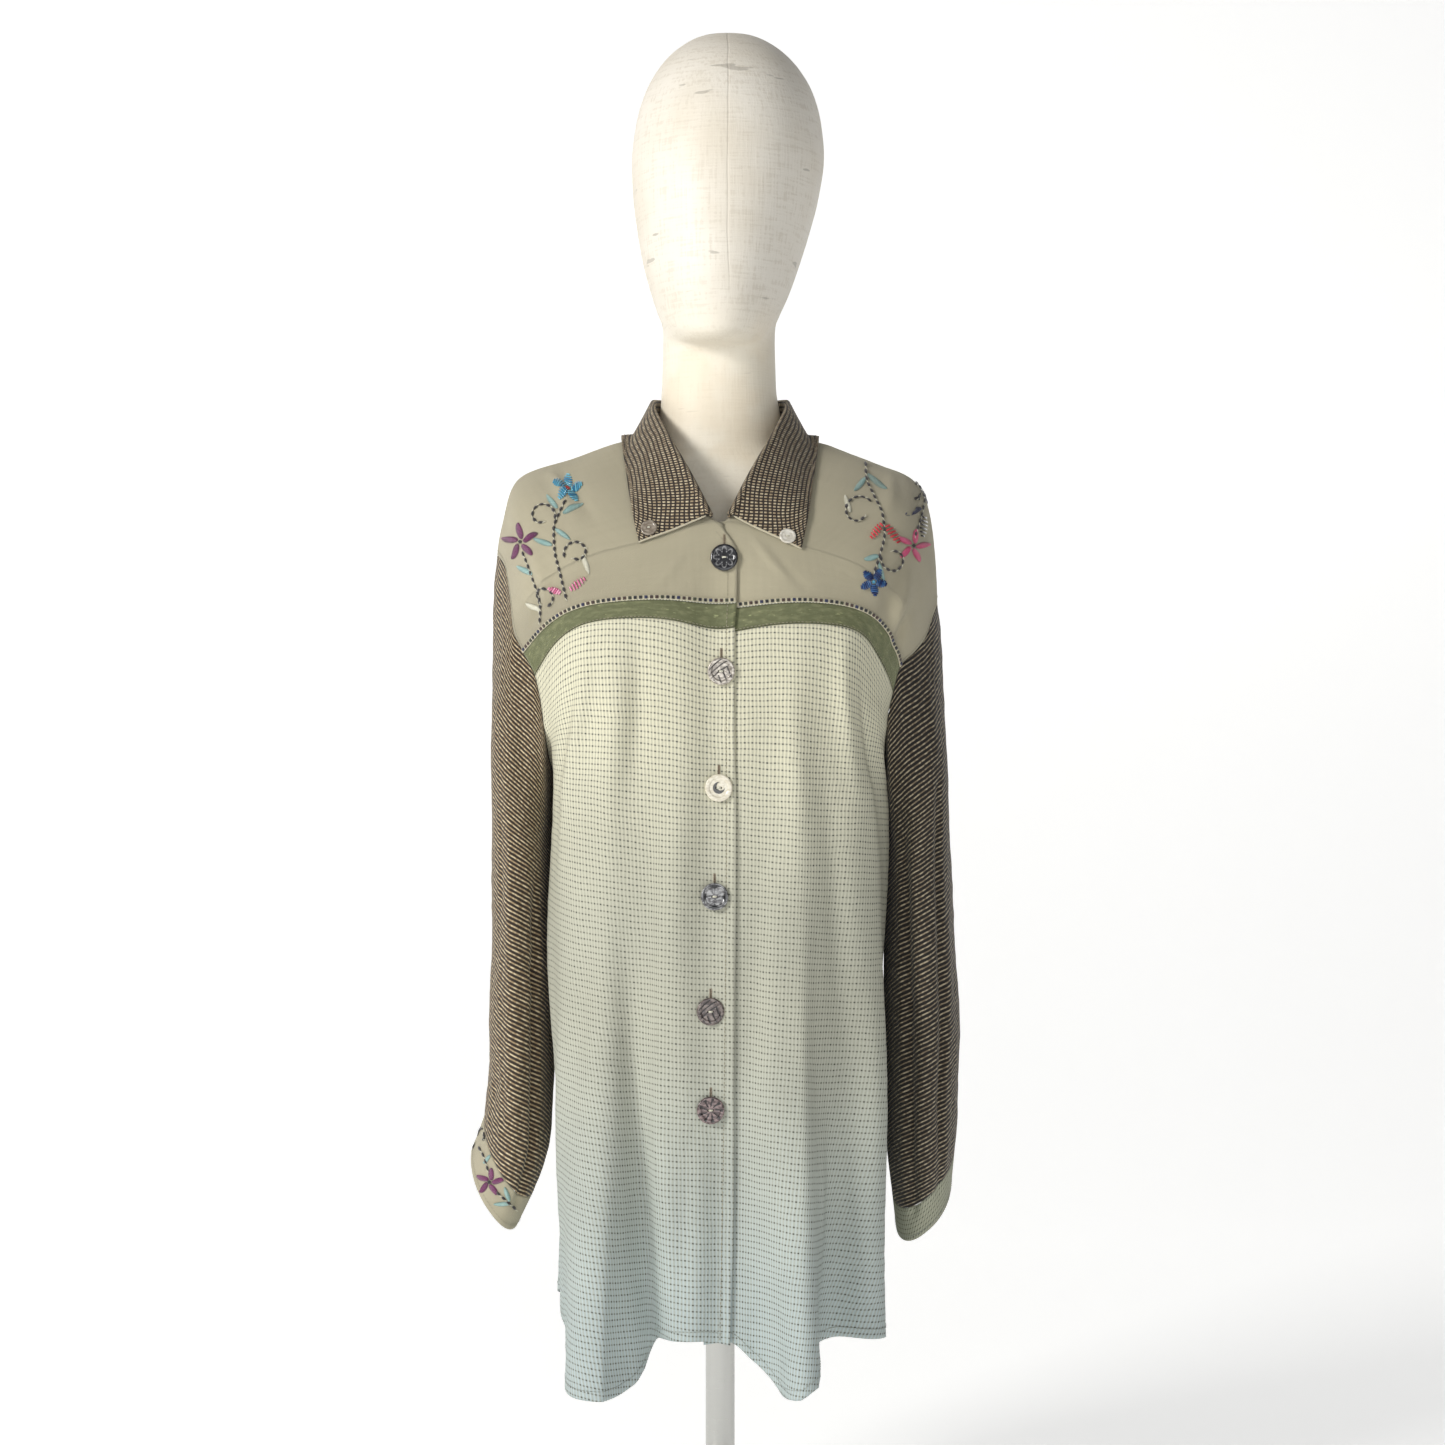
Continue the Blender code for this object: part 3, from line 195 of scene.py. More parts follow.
LEFT_BACK = [
    (40, 60, 35, 958, 98, 42, 944, 136, 45, 931, 171, 43, 908, 187, 38, 852),
    (80, 34, 60, 960, 78, 74, 938, 122, 80, 920, 163, 75, 887, 180, 60, 833),
    (110, 0, 68, 958, 50, 85, 938, 102, 93, 915, 152, 88, 872, 175, 68, 810),
    (160, 0, 88, 915, 50, 100, 905, 100, 104, 885, 145, 94, 840, 166, 74, 778),
    (220, 0, 103, 855, 48, 110, 850, 95, 109, 835, 135, 96, 790, 155, 75, 735),
    (280, 0, 110, 795, 46, 115, 790, 93, 111, 775, 130, 93, 735, 146, 66, 698),
    (320, 0, 111, 748, 46, 116, 743, 94.5, 111, 729, 134, 86, 700, 143.5, 44, 679),
    (360, 0, 112, 700, 46, 117, 696, 96, 110, 685, 136, 75, 665, 139, 0, 655),
    (460, 0, 112, 590, 47, 117, 587, 99, 108, 577, 137, 70, 562, 134, 0, 555),
    (610, 0, 112, 425, 47, 117, 423, 99, 107, 418, 135, 68, 410, 131, 0, 405),
    (850, 0, 114, 175, 50, 118, 174, 100, 107, 172, 134, 66, 168, 131, 0, 165),
]
# The blouse hangs a little to this side, so its shoulder seam falls 40 mm lower.
RIGHT_FRONT = [
    (-850, 0, -128, 160, 50, -133, 160, 101, -120, 161, 139, -75, 163, 136, 0, 165),
    (-610, 0, -129, 400, 48, -133, 400, 98, -121, 401, 136, -78, 403, 132, 0, 405),
    (-460, 0, -130, 550, 47, -134, 550, 96, -123, 551, 134, -80, 553, 132, 0, 555),
    (-360, 0, -130, 649, 45, -134, 649, 93, -125, 651, 131, -90, 653, 135, 0, 655),
    (-320, 0, -129, 688, 42, -134, 690, 88, -127, 690, 125, -100, 689, 138, -50, 686),
    (-265, 0, -128, 741, 40, -133, 745, 85, -129, 745, 120, -110, 736, 139, -76, 714),
    (-217, 0, -126, 787, 40, -132, 792.5, 88, -127, 793.5, 123, -108, 780, 144, -75, 739),
    (-195, 0, -124, 807, 45, -130, 811, 96.5, -124, 810, 133.5, -102, 794, 150, -70, 760),
    (-135, 0, -114.5, 871, 45, -120, 857, 97, -120, 842, 145, -104, 812, 163, -58, 773),
    (-100, 27, -94, 897, 71, -101, 884, 117, -102, 869, 158, -88, 838, 173, -46, 785),
    (-50, 53, -53, 929, 91, -61, 921, 133, -64, 907, 170, -56, 880, 180, -34, 803),
    (0, 66, 3, 957, 100, 1, 950, 140, 0, 934, 176, 2, 908, 187, 5, 817),
]
RIGHT_BACK = [
    (40, 60, 35, 958, 98, 42, 944, 135, 45, 928, 170, 43, 895, 183, 34, 810),
    (80, 34, 60, 960, 78, 74, 938, 121, 80, 917, 162, 73, 873, 178, 54, 795),
    (110, 0, 68, 958, 50, 85, 938, 102, 93, 912, 151, 85, 860, 172, 63, 778),
    (160, 0, 88, 915, 50, 100, 905, 100, 104, 883, 144, 92, 832, 162, 71, 757),
    (220, 0, 103, 855, 48, 110, 850, 95, 109, 834, 134, 95, 785, 150, 73, 725),
    (280, 0, 110, 795, 46, 115, 790, 92, 111, 775, 126, 93, 735, 139, 66, 698),
    (320, 0, 111, 748, 46, 116, 743, 93, 111, 729, 128.5, 86, 700, 137.5, 44, 680),
    (360, 0, 112, 700, 46, 117, 696, 94, 110, 685, 131, 75, 665, 135, 0, 655),
    (460, 0, 112, 590, 47, 117, 587, 97, 108, 577, 134, 70, 562, 132, 0, 555),
    (610, 0, 112, 425, 47, 117, 423, 98, 107, 418, 134, 68, 410, 132, 0, 405),
    (850, 0, 114, 175, 50, 118, 174, 102, 107, 172, 139, 66, 168, 136, 0, 165),
]
SECTIONS = {LEFT: MM * np.array(LEFT_FRONT + LEFT_BACK), RIGHT: MM * np.array(RIGHT_FRONT + RIGHT_BACK)}


def named(kind, tables):
    """The rows of each table as named tuples of one kind."""
    return {key: [kind(*row) for row in rows] for key, rows in tables.items()}


# A fold runs down the cloth from where it starts to the hem. at_top and at_hem: its place across the half,
# 0 to 1. inner and outer: its width towards the centre and the side seam, as shares of the half.
Fold = namedtuple("Fold", "start at_top at_hem inner outer depth")
FOLDS = named(Fold, {
    (LEFT, "front"): [
        (0.44, 0.40, 0.262, 0.090, 0.055, -0.027),
        (0.42, 0.50, 0.412, 0.100, 0.300, 0.036),
        (0.30, 0.16, 0.120, 0.120, 0.100, 0.005),
        (0.26, 0.78, 0.800, 0.100, 0.100, -0.011),
    ],
    (RIGHT, "front"): [
        (0.40, 0.34, 0.330, 0.200, 0.060, 0.036),
        (0.42, 0.48, 0.440, 0.060, 0.120, -0.014),
        (0.28, 0.68, 0.640, 0.110, 0.110, 0.008),
        (0.24, 0.80, 0.830, 0.090, 0.080, -0.009),
    ],
    (LEFT, "back"): [
        (0.30, 0.24, 0.280, 0.140, 0.120, 0.018),
        (0.32, 0.45, 0.480, 0.100, 0.100, -0.016),
        (0.34, 0.64, 0.680, 0.110, 0.130, 0.020),
    ],
    (RIGHT, "back"): [
        (0.34, 0.20, 0.200, 0.120, 0.120, 0.016),
        (0.30, 0.42, 0.400, 0.110, 0.100, -0.017),
        (0.34, 0.62, 0.600, 0.110, 0.130, 0.021),
    ],
})
# How far the cloth hangs, as a height above the floor, at places across each half of the hem.
HEM_HEIGHTS = {
    (LEFT, "front"): {"across": (0.0, 0.14, 0.30, 0.35, 0.41, 0.50, 0.64, 0.80, 0.93, 1.0),
                      "height": (0.209, 0.213, 0.211, 0.181, 0.170, 0.169, 0.175, 0.192, 0.217, 0.254)},
    (RIGHT, "front"): {"across": (0.0, 0.10, 0.20, 0.30, 0.36, 0.44, 0.55, 0.80, 0.93, 1.0),
                       "height": (0.209, 0.211, 0.195, 0.172, 0.173, 0.200, 0.209, 0.204, 0.214, 0.250)},
    (LEFT, "back"): {"across": (0.0, 0.30, 0.60, 0.85, 0.95, 1.0),
                     "height": (0.185, 0.182, 0.188, 0.215, 0.236, 0.272)},
    (RIGHT, "back"): {"across": (0.0, 0.30, 0.60, 0.85, 0.95, 1.0),
                      "height": (0.185, 0.183, 0.188, 0.212, 0.232, 0.268)},
}

# How far each front laps past the centre, by its level.
LAP_EDGE = {"level": (0.12, 0.20, 0.50, 0.85),
            LEFT: (0.0150, 0.0145, 0.0125, 0.0070),
            RIGHT: (0.0140, 0.0140, 0.0140, 0.0120)}
print("sections:", {side: len(rows) for side, rows in SECTIONS.items()})

# %% [markdown]
# ## The surface of the body
#
# A section's five points become a smooth curve across, the rows of the table a smooth curve down, and the folds
# push the cloth out below the chest. On top of that come small creases: short pressed lines in cloth metres, and
# a faint seeded ripple. Two pieces that meet at a seam read the same function, so they always fit.

# %% The body
def through_five(points, across):
    """A cubic spline across through five even points. Depth and height run level into the centre."""
    step = 0.25
    bends = np.zeros_like(points)
    for axis, start in enumerate(([1, 0, 0, 0], [2, 1, 0, 0], [2, 1, 0, 0])):
        system = np.array([start, [1, 4, 1, 0], [0, 1, 4, 1], [0, 0, 1, 4]], float)
        values = points[:, :, axis]
        turn = values[:, :-2] - 2 * values[:, 1:-1] + values[:, 2:]
        level = (values[:, 1:2] - values[:, :1]) * (axis > 0)
        bends[:, :4, axis] = np.concatenate([level, turn], axis=1) @ np.linalg.inv(system).T * 6 / step**2
    i = np.clip((across / step).astype(int), 0, 3)
    n = np.arange(len(points))
    b = (across / step - i)[:, None]
    a = 1 - b
    return (a * points[n, i] + b * points[n, i + 1]
            + ((a**3 - a) * bends[n, i] + (b**3 - b) * bends[n, i + 1]) * step**2 / 6)


def fold_depth(side, across, level):
    """How far the large folds move the cloth out: each fold's depth, times its growth down, times its bump."""
    moved = np.zeros_like(across)
    for part, sign in (("front", -1), ("back", 1)):
        here = sign * level > 0
        for fold in FOLDS[side, part]:
            share = np.clip((np.abs(level) - fold.start) / (HEM - fold.start), 0, 1)
            place = fold.at_top + (fold.at_hem - fold.at_top) * share
            wide = 1.5 - 0.5 * share
            moved += here * fold.depth * share**1.3 * bump(across - place, fold.inner * wide, fold.outer * wide)
    return moved


def plain_points(side, across, level):
    """The body without its small creases. Across is less than 0 where a front laps past the centre."""
    shape = np.broadcast(across, level).shape
    signed = np.broadcast_to(across, shape).ravel()
    level = np.broadcast_to(level, shape).ravel()
    across = np.abs(signed)
    table = SECTIONS[side]
    sections = smooth(table[:, 0], table[:, 1:], level).reshape(-1, 5, 3)
    points = through_five(sections, across)
    nudge = 1e-3
    after, before = (through_five(sections, np.clip(across + by, 0, 1)) for by in (nudge, -nudge))
    tangent = after - before
    turn = np.where(level < 0, 1.0, -1.0)
    outward = unit(np.stack([turn * tangent[:, 1], -turn * tangent[:, 0], np.zeros(len(tangent))], axis=1))
    points += outward * fold_depth(side, across, level)[:, None]
    points[:, 0] *= np.where(signed < 0, -1, 1)
    if side == LEFT:
        lap = ease((LAP_FADE - points[:, 0]) / (LAP_FADE * (1 - LAP_EVEN)))
        lap *= ease((-level - LAP_TOP + LAP_GROWS) / LAP_GROWS)
        points[:, 1] -= LAP_STEP * lap
    points[:, 0] *= side
    return points.reshape(*shape, 3)


def normals_of(surface, a, b, step=1e-3):
    """Across the surface crossed with down it, by small steps."""
    along = surface(a + step, b) - surface(a - step, b)
    down = surface(a, b + step) - surface(a, b - step)
    return unit(np.cross(along, down))


def body_normals(side, across, level):
    """The blouse's outward direction. At the side seam the front and the back share theirs."""
    def own(level):
        return side * normals_of(lambda a, b: plain_points(side, np.minimum(a, 1), b), across, level)
    beside = ease((across - 1 + SIDE_NEAR) / (SIDE_NEAR - SEAM / HALF_WIDTH))
    below = ease((np.abs(level) - ARMPIT + ARMPIT_NEAR) / ARMPIT_NEAR)
    return unit(own(level) + (beside * below)[..., None] * own(-level))


# out and down: a crease's middle, in millimetres of cloth from the centre and the shoulder seam. lean: degrees
# from upright, its lower end outwards. length and width: half of each. depth: out is more than 0.
Crease = namedtuple("Crease", "out down lean length width depth")
CREASES = named(Crease, {
    (LEFT, "front"): [
        (104, 52, -4, 45, 6, 1.6), (92, 60, -8, 50, 7, -1.2), (46, 165, 40, 26, 5, 1.0),
        (150, 120, 12, 60, 8, 1.6), (168, 150, 16, 50, 7, -1.8), (78, 290, 0, 85, 9, -2.0),
        (95, 330, -3, 120, 12, 2.2), (134, 300, 6, 110, 9, 2.0), (150, 350, 3, 120, 9, -2.2),
        (40, 420, 2, 150, 14, 1.8), (110, 520, 3, 160, 10, -2.4), (62, 610, -3, 150, 9, 1.8),
        (165, 520, -3, 160, 10, 2.6), (30, 700, 2, 120, 9, -1.6),
        (72, 800, 2, 230, 13, -4.2), (98, 800, 2, 230, 12, 2.6), (130, 780, -2, 200, 12, -2.4),
    ],
    (RIGHT, "front"): [
        (110, 46, 6, 40, 7, 1.2), (48, 152, 42, 38, 5, 1.1), (64, 165, 36, 34, 5, -0.8),
        (158, 150, 6, 66, 7, 2.6), (170, 156, 8, 60, 6, -2.0), (142, 140, 4, 60, 6, -1.4),
        (120, 290, 2, 90, 9, 2.0), (70, 340, -2, 120, 11, 1.8), (150, 330, 4, 110, 8, -2.2),
        (172, 420, 0, 170, 9, 3.0), (100, 470, 3, 160, 10, -2.2), (44, 520, -2, 170, 11, 1.8),
        (130, 620, -2, 160, 10, 2.4), (84, 700, 2, 120, 8, 1.6),
        (42, 820, 0, 210, 12, -3.4), (68, 820, -2, 220, 11, 2.2), (104, 800, 2, 230, 14, -3.4),
    ],
    (LEFT, "back"): [
        (60, 120, 30, 50, 8, 1.4), (140, 130, 12, 60, 8, 1.8), (90, 330, 2, 120, 12, 2.0),
        (40, 470, -2, 160, 12, -2.0), (150, 480, 3, 170, 11, 2.6), (110, 640, 2, 160, 10, -2.2),
    ],
    (RIGHT, "back"): [
        (56, 124, 28, 46, 8, 1.4), (146, 136, 12, 60, 8, 1.8), (84, 340, -3, 120, 12, 2.0),
        (46, 500, 3, 160, 12, 2.0), (140, 470, 3, 170, 11, -2.4), (104, 650, -2, 150, 10, 2.2),
    ],
})
SOFT_RIPPLE = 0.0016
CREASE_DEPTH = 1.9
CRINKLE = 0.00013


def pressed(u, v, creases):
    """The sum of pressed lines: each is a bell across its line, times a bump along it."""
    total = 0
    for crease in creases:
        lean = math.radians(crease.lean)
        right, down = u - MM * crease.out, v - MM * crease.down
        across = right * math.cos(lean) - down * math.sin(lean)
        along = right * math.sin(lean) + down * math.cos(lean)
        bell = np.exp(-(across / (MM * crease.width)) ** 2)
        total = total + MM * crease.depth * bell * bump(along, MM * crease.length, MM * crease.length)
    return total


def small_folds(side, across, level):
    """Creases and ripples in metres, faded out beside the side seam."""
    u, v = np.abs(across) * HALF_WIDTH, np.abs(level)
    x = side * across * HALF_WIDTH
    creases = np.where(level <= 0, pressed(u, v, CREASES[side, "front"]), pressed(u, v, CREASES[side, "back"]))
    hanging = 0.35 + 0.65 * ease((v - 0.20) / 0.12)
    soft = SOFT_RIPPLE * ripples(3.2 * x, level, 0.17, 14, 4) + CRINKLE * ripples(1.7 * x, level, 0.020, 18, 9)
    return (CREASE_DEPTH * creases + hanging * soft) * ease((1 - across) / 0.06)


def body_points(side, across, level):
    """The body's outer surface: the plain one, moved along its own direction by the small folds."""
    across, level = np.broadcast_arrays(np.asarray(across, float), np.asarray(level, float))
    moved = small_folds(side, across, level)
    return plain_points(side, across, level) + moved[..., None] * body_normals(side, across, level)


def on_body(side, across, level):
    """Points on the body and the directions out of the cloth there."""
    across, level = np.broadcast_arrays(np.asarray(across, float), np.asarray(level, float))
    return body_points(side, across, level), body_normals(side, across, level)


def lap_start(side, level):
    """Where a front starts across: at the centre, or past it where the two fronts lap."""
    edge = smooth(LAP_EDGE["level"], LAP_EDGE[side], -level)
    return -edge / CENTRE_SCALE * ease((-level - LAP_TOP) / LAP_GROWS)


def hem_level(side, part, across):
    """The level of the hem: what is left of the level-and-height sum at the height that the table gives."""
    heights = HEM_HEIGHTS[side, part]
    sign = -1 if part == "front" else 1
    return sign * (LEVEL_AND_HEIGHT - smooth(heights["across"], heights["height"], across))


def vent(level):
    """How far the side slit has opened, as a share of the half."""
    return VENT_SPREAD * ease((np.abs(level) - VENT_TOP) / (HEM - VENT_TOP))


print("chest, from the front:", body_points(LEFT, 0.5, -0.3).round(3))

# %% [markdown]
# ## From a surface to a piece of cloth
#
# A piece is a grid of points with a second grid one cloth's thickness behind it, closed round its edges. Its UV
# map holds metres of cloth: how far a point lies across and down the flat piece. The weave reads those metres.

# %% Making pieces
def grid_quads(rows, columns, wide):
    """Corner numbers of the quads in a grid that is wide points across: a point, the next, and those below."""
    r, c = np.meshgrid(np.arange(rows - 1), np.arange(columns), indexing="ij")
    right = (c + 1) % wide
    above, below = r * wide, (r + 1) * wide
    return np.stack([above + c, above + right, below + right, below + c], -1).reshape(-1, 4)


def signed_volume(points, faces):
    """A sixth of the sum of each triangle's triple product, with the faces cut into fans."""
    corners = points[faces]
    pairs = [np.cross(corners[:, k], corners[:, k + 1]) for k in range(1, faces.shape[1] - 1)]
    return sum((corners[:, 0] * pair).sum() for pair in pairs) / 6


def add_piece(name, points, groups, finish, replaces=(), shade=None):
    """A mesh from arrays of faces with as many corners each, and a UV place for every corner."""
    inside_out = sum(signed_volume(points, faces) for faces, _ in groups) < 0
    if inside_out:
        groups = [(faces[:, ::-1], places[:, ::-1]) for faces, places in groups]
    mesh = bpy.data.meshes.new(name)
    mesh.from_pydata(points.tolist(), [], [face for faces, _ in groups for face in faces.tolist()])
    layer = mesh.uv_layers.new(name="cloth")
    layer.data.foreach_set("uv", np.concatenate([p.reshape(-1, 2) for _, p in groups]).astype(np.float32).ravel())
    mesh.polygons.foreach_set("use_smooth", np.ones(len(mesh.polygons), bool))
    if shade is not None:
        mesh.attributes.new("shade", "FLOAT", "POINT").data.foreach_set("value", shade.astype(np.float32))
    mesh.materials.append(finish)
    piece = bpy.data.objects.new(name, mesh)
    bpy.context.scene.collection.objects.link(piece)
    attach(piece, "root")
    if replaces:
        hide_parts(*replaces)
    print(name, len(mesh.polygons), "faces")
    return piece


def wall(name, outer, inner, uv, finish, replaces=(), closed=False):
    """A closed wall: one grid, the other grid behind it, and a strip round each open edge."""
    rows, columns = outer.shape[:2]
    count = rows * columns
    across = columns if closed else columns - 1
    faces = grid_quads(rows, across, columns)
    places = uv.reshape(-1, 2)[grid_quads(rows, across, uv.shape[1])]
    index = np.arange(count).reshape(rows, columns)
    if closed:
        runs = [np.append(index[0], index[0, :1]), np.append(index[-1], index[-1, :1])[::-1]]
    else:
        runs = [index[0], index[-1, ::-1], index[::-1, 0], index[:, -1]]
    a, b = (np.concatenate([run[part] for run in runs]) for part in (slice(None, -1), slice(1, None)))
    rim = np.stack([b, a, a + count, b + count], -1)
    flat = uv[:, :columns].reshape(-1, 2)
    points = np.concatenate([outer.reshape(-1, 3), inner.reshape(-1, 3)])
    groups = [(faces, places), (faces[:, ::-1] + count, places[:, ::-1]), (rim, flat[rim % count])]
    return add_piece(name, points, groups, finish, replaces)


def cloth(name, outer, normals, uv, finish, thickness=CLOTH, closed=False):
    """A piece of cloth in place of the node it is named for: the grid, and the same grid moved in."""
    return wall(f"{name}_cloth", outer, outer - thickness * normals, uv, finish, [name], closed)


def measured(lines):
    """Lengths along rows of points, from 0."""
    steps = np.linalg.norm(np.diff(lines, axis=1), axis=-1)
    return np.concatenate([np.zeros((len(lines), 1)), np.cumsum(steps, axis=1)], axis=1)


def cut_size(outer, closed=False):
    """The flat cut: the longest row and column of the grid, and the area of its quads."""
    rows = np.concatenate([outer, outer[:, :1]], axis=1) if closed else outer
    width = measured(rows)[:, -1].max()
    length = measured(rows.swapaxes(0, 1))[:, -1].max()
    a, b, c, d = rows[:-1, :-1], rows[:-1, 1:], rows[1:, 1:], rows[1:, :-1]
    area = np.linalg.norm(np.cross(c - a, d - b), axis=-1).sum() / 2
    return (round(float(width), 3), round(float(length), 3)), float(area)


CUTS = {}


def declare(piece, outer, held, rests_on, closed=False):
    """Records the size of a piece's cut in CUTS."""
    flat, area = cut_size(outer, closed)
    CUTS[piece.name] = (*flat, round(area, 4))


print("pieces are closed walls", 1000 * CLOTH, "mm thick")

# %% [markdown]
# ## Weaves
#
# Each cloth's colour is worked out in its own metres. A thread is a soft stripe: 1 near the thread's line and 0
# away from it.

# %% Shader helpers
class Shader:
    """A short way to write a material's nodes: each method adds one node and gives back its output."""

    def __init__(self, name, roughness=0.8, **inputs):
        self.material = bpy.data.materials.new(name)
        self.material.use_nodes = True
        self.tree = self.material.node_tree
        self.base = self.tree.nodes["Principled BSDF"]
        self.base.inputs["Roughness"].default_value = roughness
        for key, value in inputs.items():
            self.base.inputs[key.replace("_", " ")].default_value = value

    def put(self, socket, value):
        """Joins an output to a socket, or sets the socket to a number or a colour."""
        if isinstance(value, bpy.types.NodeSocket):
            self.tree.links.new(value, socket)
        else:
            socket.default_value = value

    def math(self, what, a, b=0.0, c=0.0):
        node = self.tree.nodes.new("ShaderNodeMath")
        node.operation = what
        for socket, value in zip(node.inputs, (a, b, c)):
            self.put(socket, value)
        return node.outputs[0]

    def mix(self, share, a, b, how="MIX"):
        """Colour a where the share is 0 and b where it is 1."""
        node = self.tree.nodes.new("ShaderNodeMix")
        node.data_type, node.blend_type = "RGBA", how
        self.put(node.inputs[0], share)
        self.put(node.inputs[6], a)
        self.put(node.inputs[7], b)
        return node.outputs[2]

    def step(self, value, low, high):
        """A soft step from 0 at low to 1 at high."""
        node = self.tree.nodes.new("ShaderNodeMapRange")
        node.interpolation_type = "SMOOTHSTEP"
        self.put(node.inputs["Value"], value)
        node.inputs["From Min"].default_value, node.inputs["From Max"].default_value = low, high
        return node.outputs[0]

    def noise(self, vector, scale, detail=3.0, stretch=(1, 1, 1)):
        mapped = self.tree.nodes.new("ShaderNodeMapping")
        mapped.inputs["Scale"].default_value = stretch
        self.put(mapped.inputs["Vector"], vector)
        node = self.tree.nodes.new("ShaderNodeTexNoise")
        self.put(node.inputs["Vector"], mapped.outputs[0])
        node.inputs["Scale"].default_value, node.inputs["Detail"].default_value = scale, detail
        return node.outputs[0]

    def cloth_uv(self):
        """The UV map in metres, and its two numbers."""
        node = self.tree.nodes.new("ShaderNodeUVMap")
        node.uv_map = "cloth"
        parts = self.tree.nodes.new("ShaderNodeSeparateXYZ")
        self.tree.links.new(node.outputs[0], parts.inputs[0])
        return node.outputs[0], parts.outputs[0], parts.outputs[1]

    def place(self):
        """The place in metres, and its three numbers."""
        node = self.tree.nodes.new("ShaderNodeTexCoord")
        parts = self.tree.nodes.new("ShaderNodeSeparateXYZ")
        self.tree.links.new(node.outputs["Object"], parts.inputs[0])
        return node.outputs["Object"], *parts.outputs

    def shade(self):
        """The number that each point of the mesh carries."""
        node = self.tree.nodes.new("ShaderNodeAttribute")
        node.attribute_name = "shade"
        return node.outputs["Fac"]

    def wave(self, value, pitch, offset=0.0):
        """How far a value is into its pitch, from 0 to 1."""
        return self.math("FRACT", self.math("ADD", self.math("DIVIDE", value, pitch), offset))

    def stripe(self, phase, half, soft):
        """1 within half of a phase's middle, falling to 0 over the soft share."""
        off = self.math("ABSOLUTE", self.math("SUBTRACT", phase, 0.5))
        return self.step(off, half + soft, half - soft)

    def both(self, a, b):
        return self.math("MULTIPLY", a, b)

    def finish(self, colour, height=None, distance=0.0003):
        """Joins the colour, and a bump of the height if there is one."""
        self.put(self.base.inputs["Base Color"], colour)
        if height is not None:
            node = self.tree.nodes.new("ShaderNodeBump")
            node.inputs["Distance"].default_value = distance
            self.put(node.inputs["Height"], height)
            self.put(self.base.inputs["Normal"], node.outputs[0])
        return self.material


def rgb(red, green, blue):
    """A screen colour of 0 to 255 turned into linear light."""
    values = np.array([red, green, blue]) / 255
    linear = np.where(values <= 0.04045, values / 12.92, ((values + 0.055) / 1.055) ** 2.4)
    return (*map(float, linear), 1.0)


def plain(name, colour, roughness=0.5, **inputs):
    """One colour all over."""
    made = Shader(name, roughness, **inputs)
    return made.finish(rgb(*colour))


print("a screen grey of 128 is", round(rgb(128, 128, 128)[0], 3), "of full light")

# %% The checked cotton of the body
CHECK_COLUMN, CHECK_ROW = 0.00312, 0.0050


def checked(name, tones, line, dash, levels):
    """Pale stripes and grey-tan stripes, with thin dark dashes where rows cross the darker ones.

    tones: the ground's colours from the top down, and levels: where each one starts. On the body the later tones
    are painted light: the darker middle tone is painted shade, and the bluish hem tone is painted cool light."""
    made = Shader(name, 0.85)
    uv, u, v = made.cloth_uv()
    wobble = made.math("MULTIPLY", made.math("SUBTRACT", made.noise(uv, 45.0, 2.0), 0.5), 0.0018)
    column = made.math("ADD", u, wobble)
    lines = made.stripe(made.wave(column, CHECK_COLUMN), 0.24, 0.16)
    pair = made.step(made.stripe(made.wave(column, 2 * CHECK_COLUMN, 0.25), 0.25, 0.02), 0.3, 0.7)
    level = made.math("MULTIPLY_ADD", made.noise(uv, 22.0, 2.0), 0.0040, made.math("MULTIPLY_ADD", u, 0.09, v))
    rows = made.stripe(made.wave(level, CHECK_ROW), 0.12, 0.08)
    strong = made.math("MULTIPLY_ADD", pair, 0.35, 0.65)
    fading = made.math("MULTIPLY_ADD", made.noise(uv, 120.0, 2.0), 1.2, 0.4)
    dashes = made.both(made.both(lines, rows), made.both(strong, fading))
    threads = made.noise(uv, 900.0, 2.0, (1, 0.35, 1))
    ground = rgb(*tones[0])
    for tone, start, end in zip(tones[1:], levels, levels[1:]):
        ground = made.mix(made.step(v, start, end), ground, rgb(*tone))
    colour = made.mix(made.both(lines, 0.5), ground, rgb(*line))
    colour = made.mix(made.both(rows, 0.26), colour, rgb(*line))
    colour = made.mix(dashes, colour, rgb(*dash))
    worn = made.math("MULTIPLY_ADD", made.noise(uv, 11.0, 4.0), 0.24, 0.88)
    worn = made.both(worn, made.math("MULTIPLY_ADD", threads, 0.22, 0.89))
    grey = made.tree.nodes.new("ShaderNodeCombineColor")
    for socket in grey.inputs:
        made.put(socket, worn)
    colour = made.mix(1.0, colour, grey.outputs[0], "MULTIPLY")
    height = made.math("MULTIPLY_ADD", threads, 0.5, made.both(lines, 0.4))
    return made.finish(colour, height, 0.00022)


# On the body the ground is painted light. Below the chest it is painted darker as shade from the folds, and
# towards the hem it is painted bluer as cool light from below.
checks = {"body": checked("check_body_painted_light", [(224, 220, 194), (188, 188, 172), (182, 196, 198)],
                          (164, 164, 146), (78, 80, 74), (-0.24, -0.50, -0.84)),
          "cuff": checked("check_cuff", [(176, 177, 156), (164, 165, 146)],
                          (118, 121, 104), (70, 73, 62), (0, -0.05))}


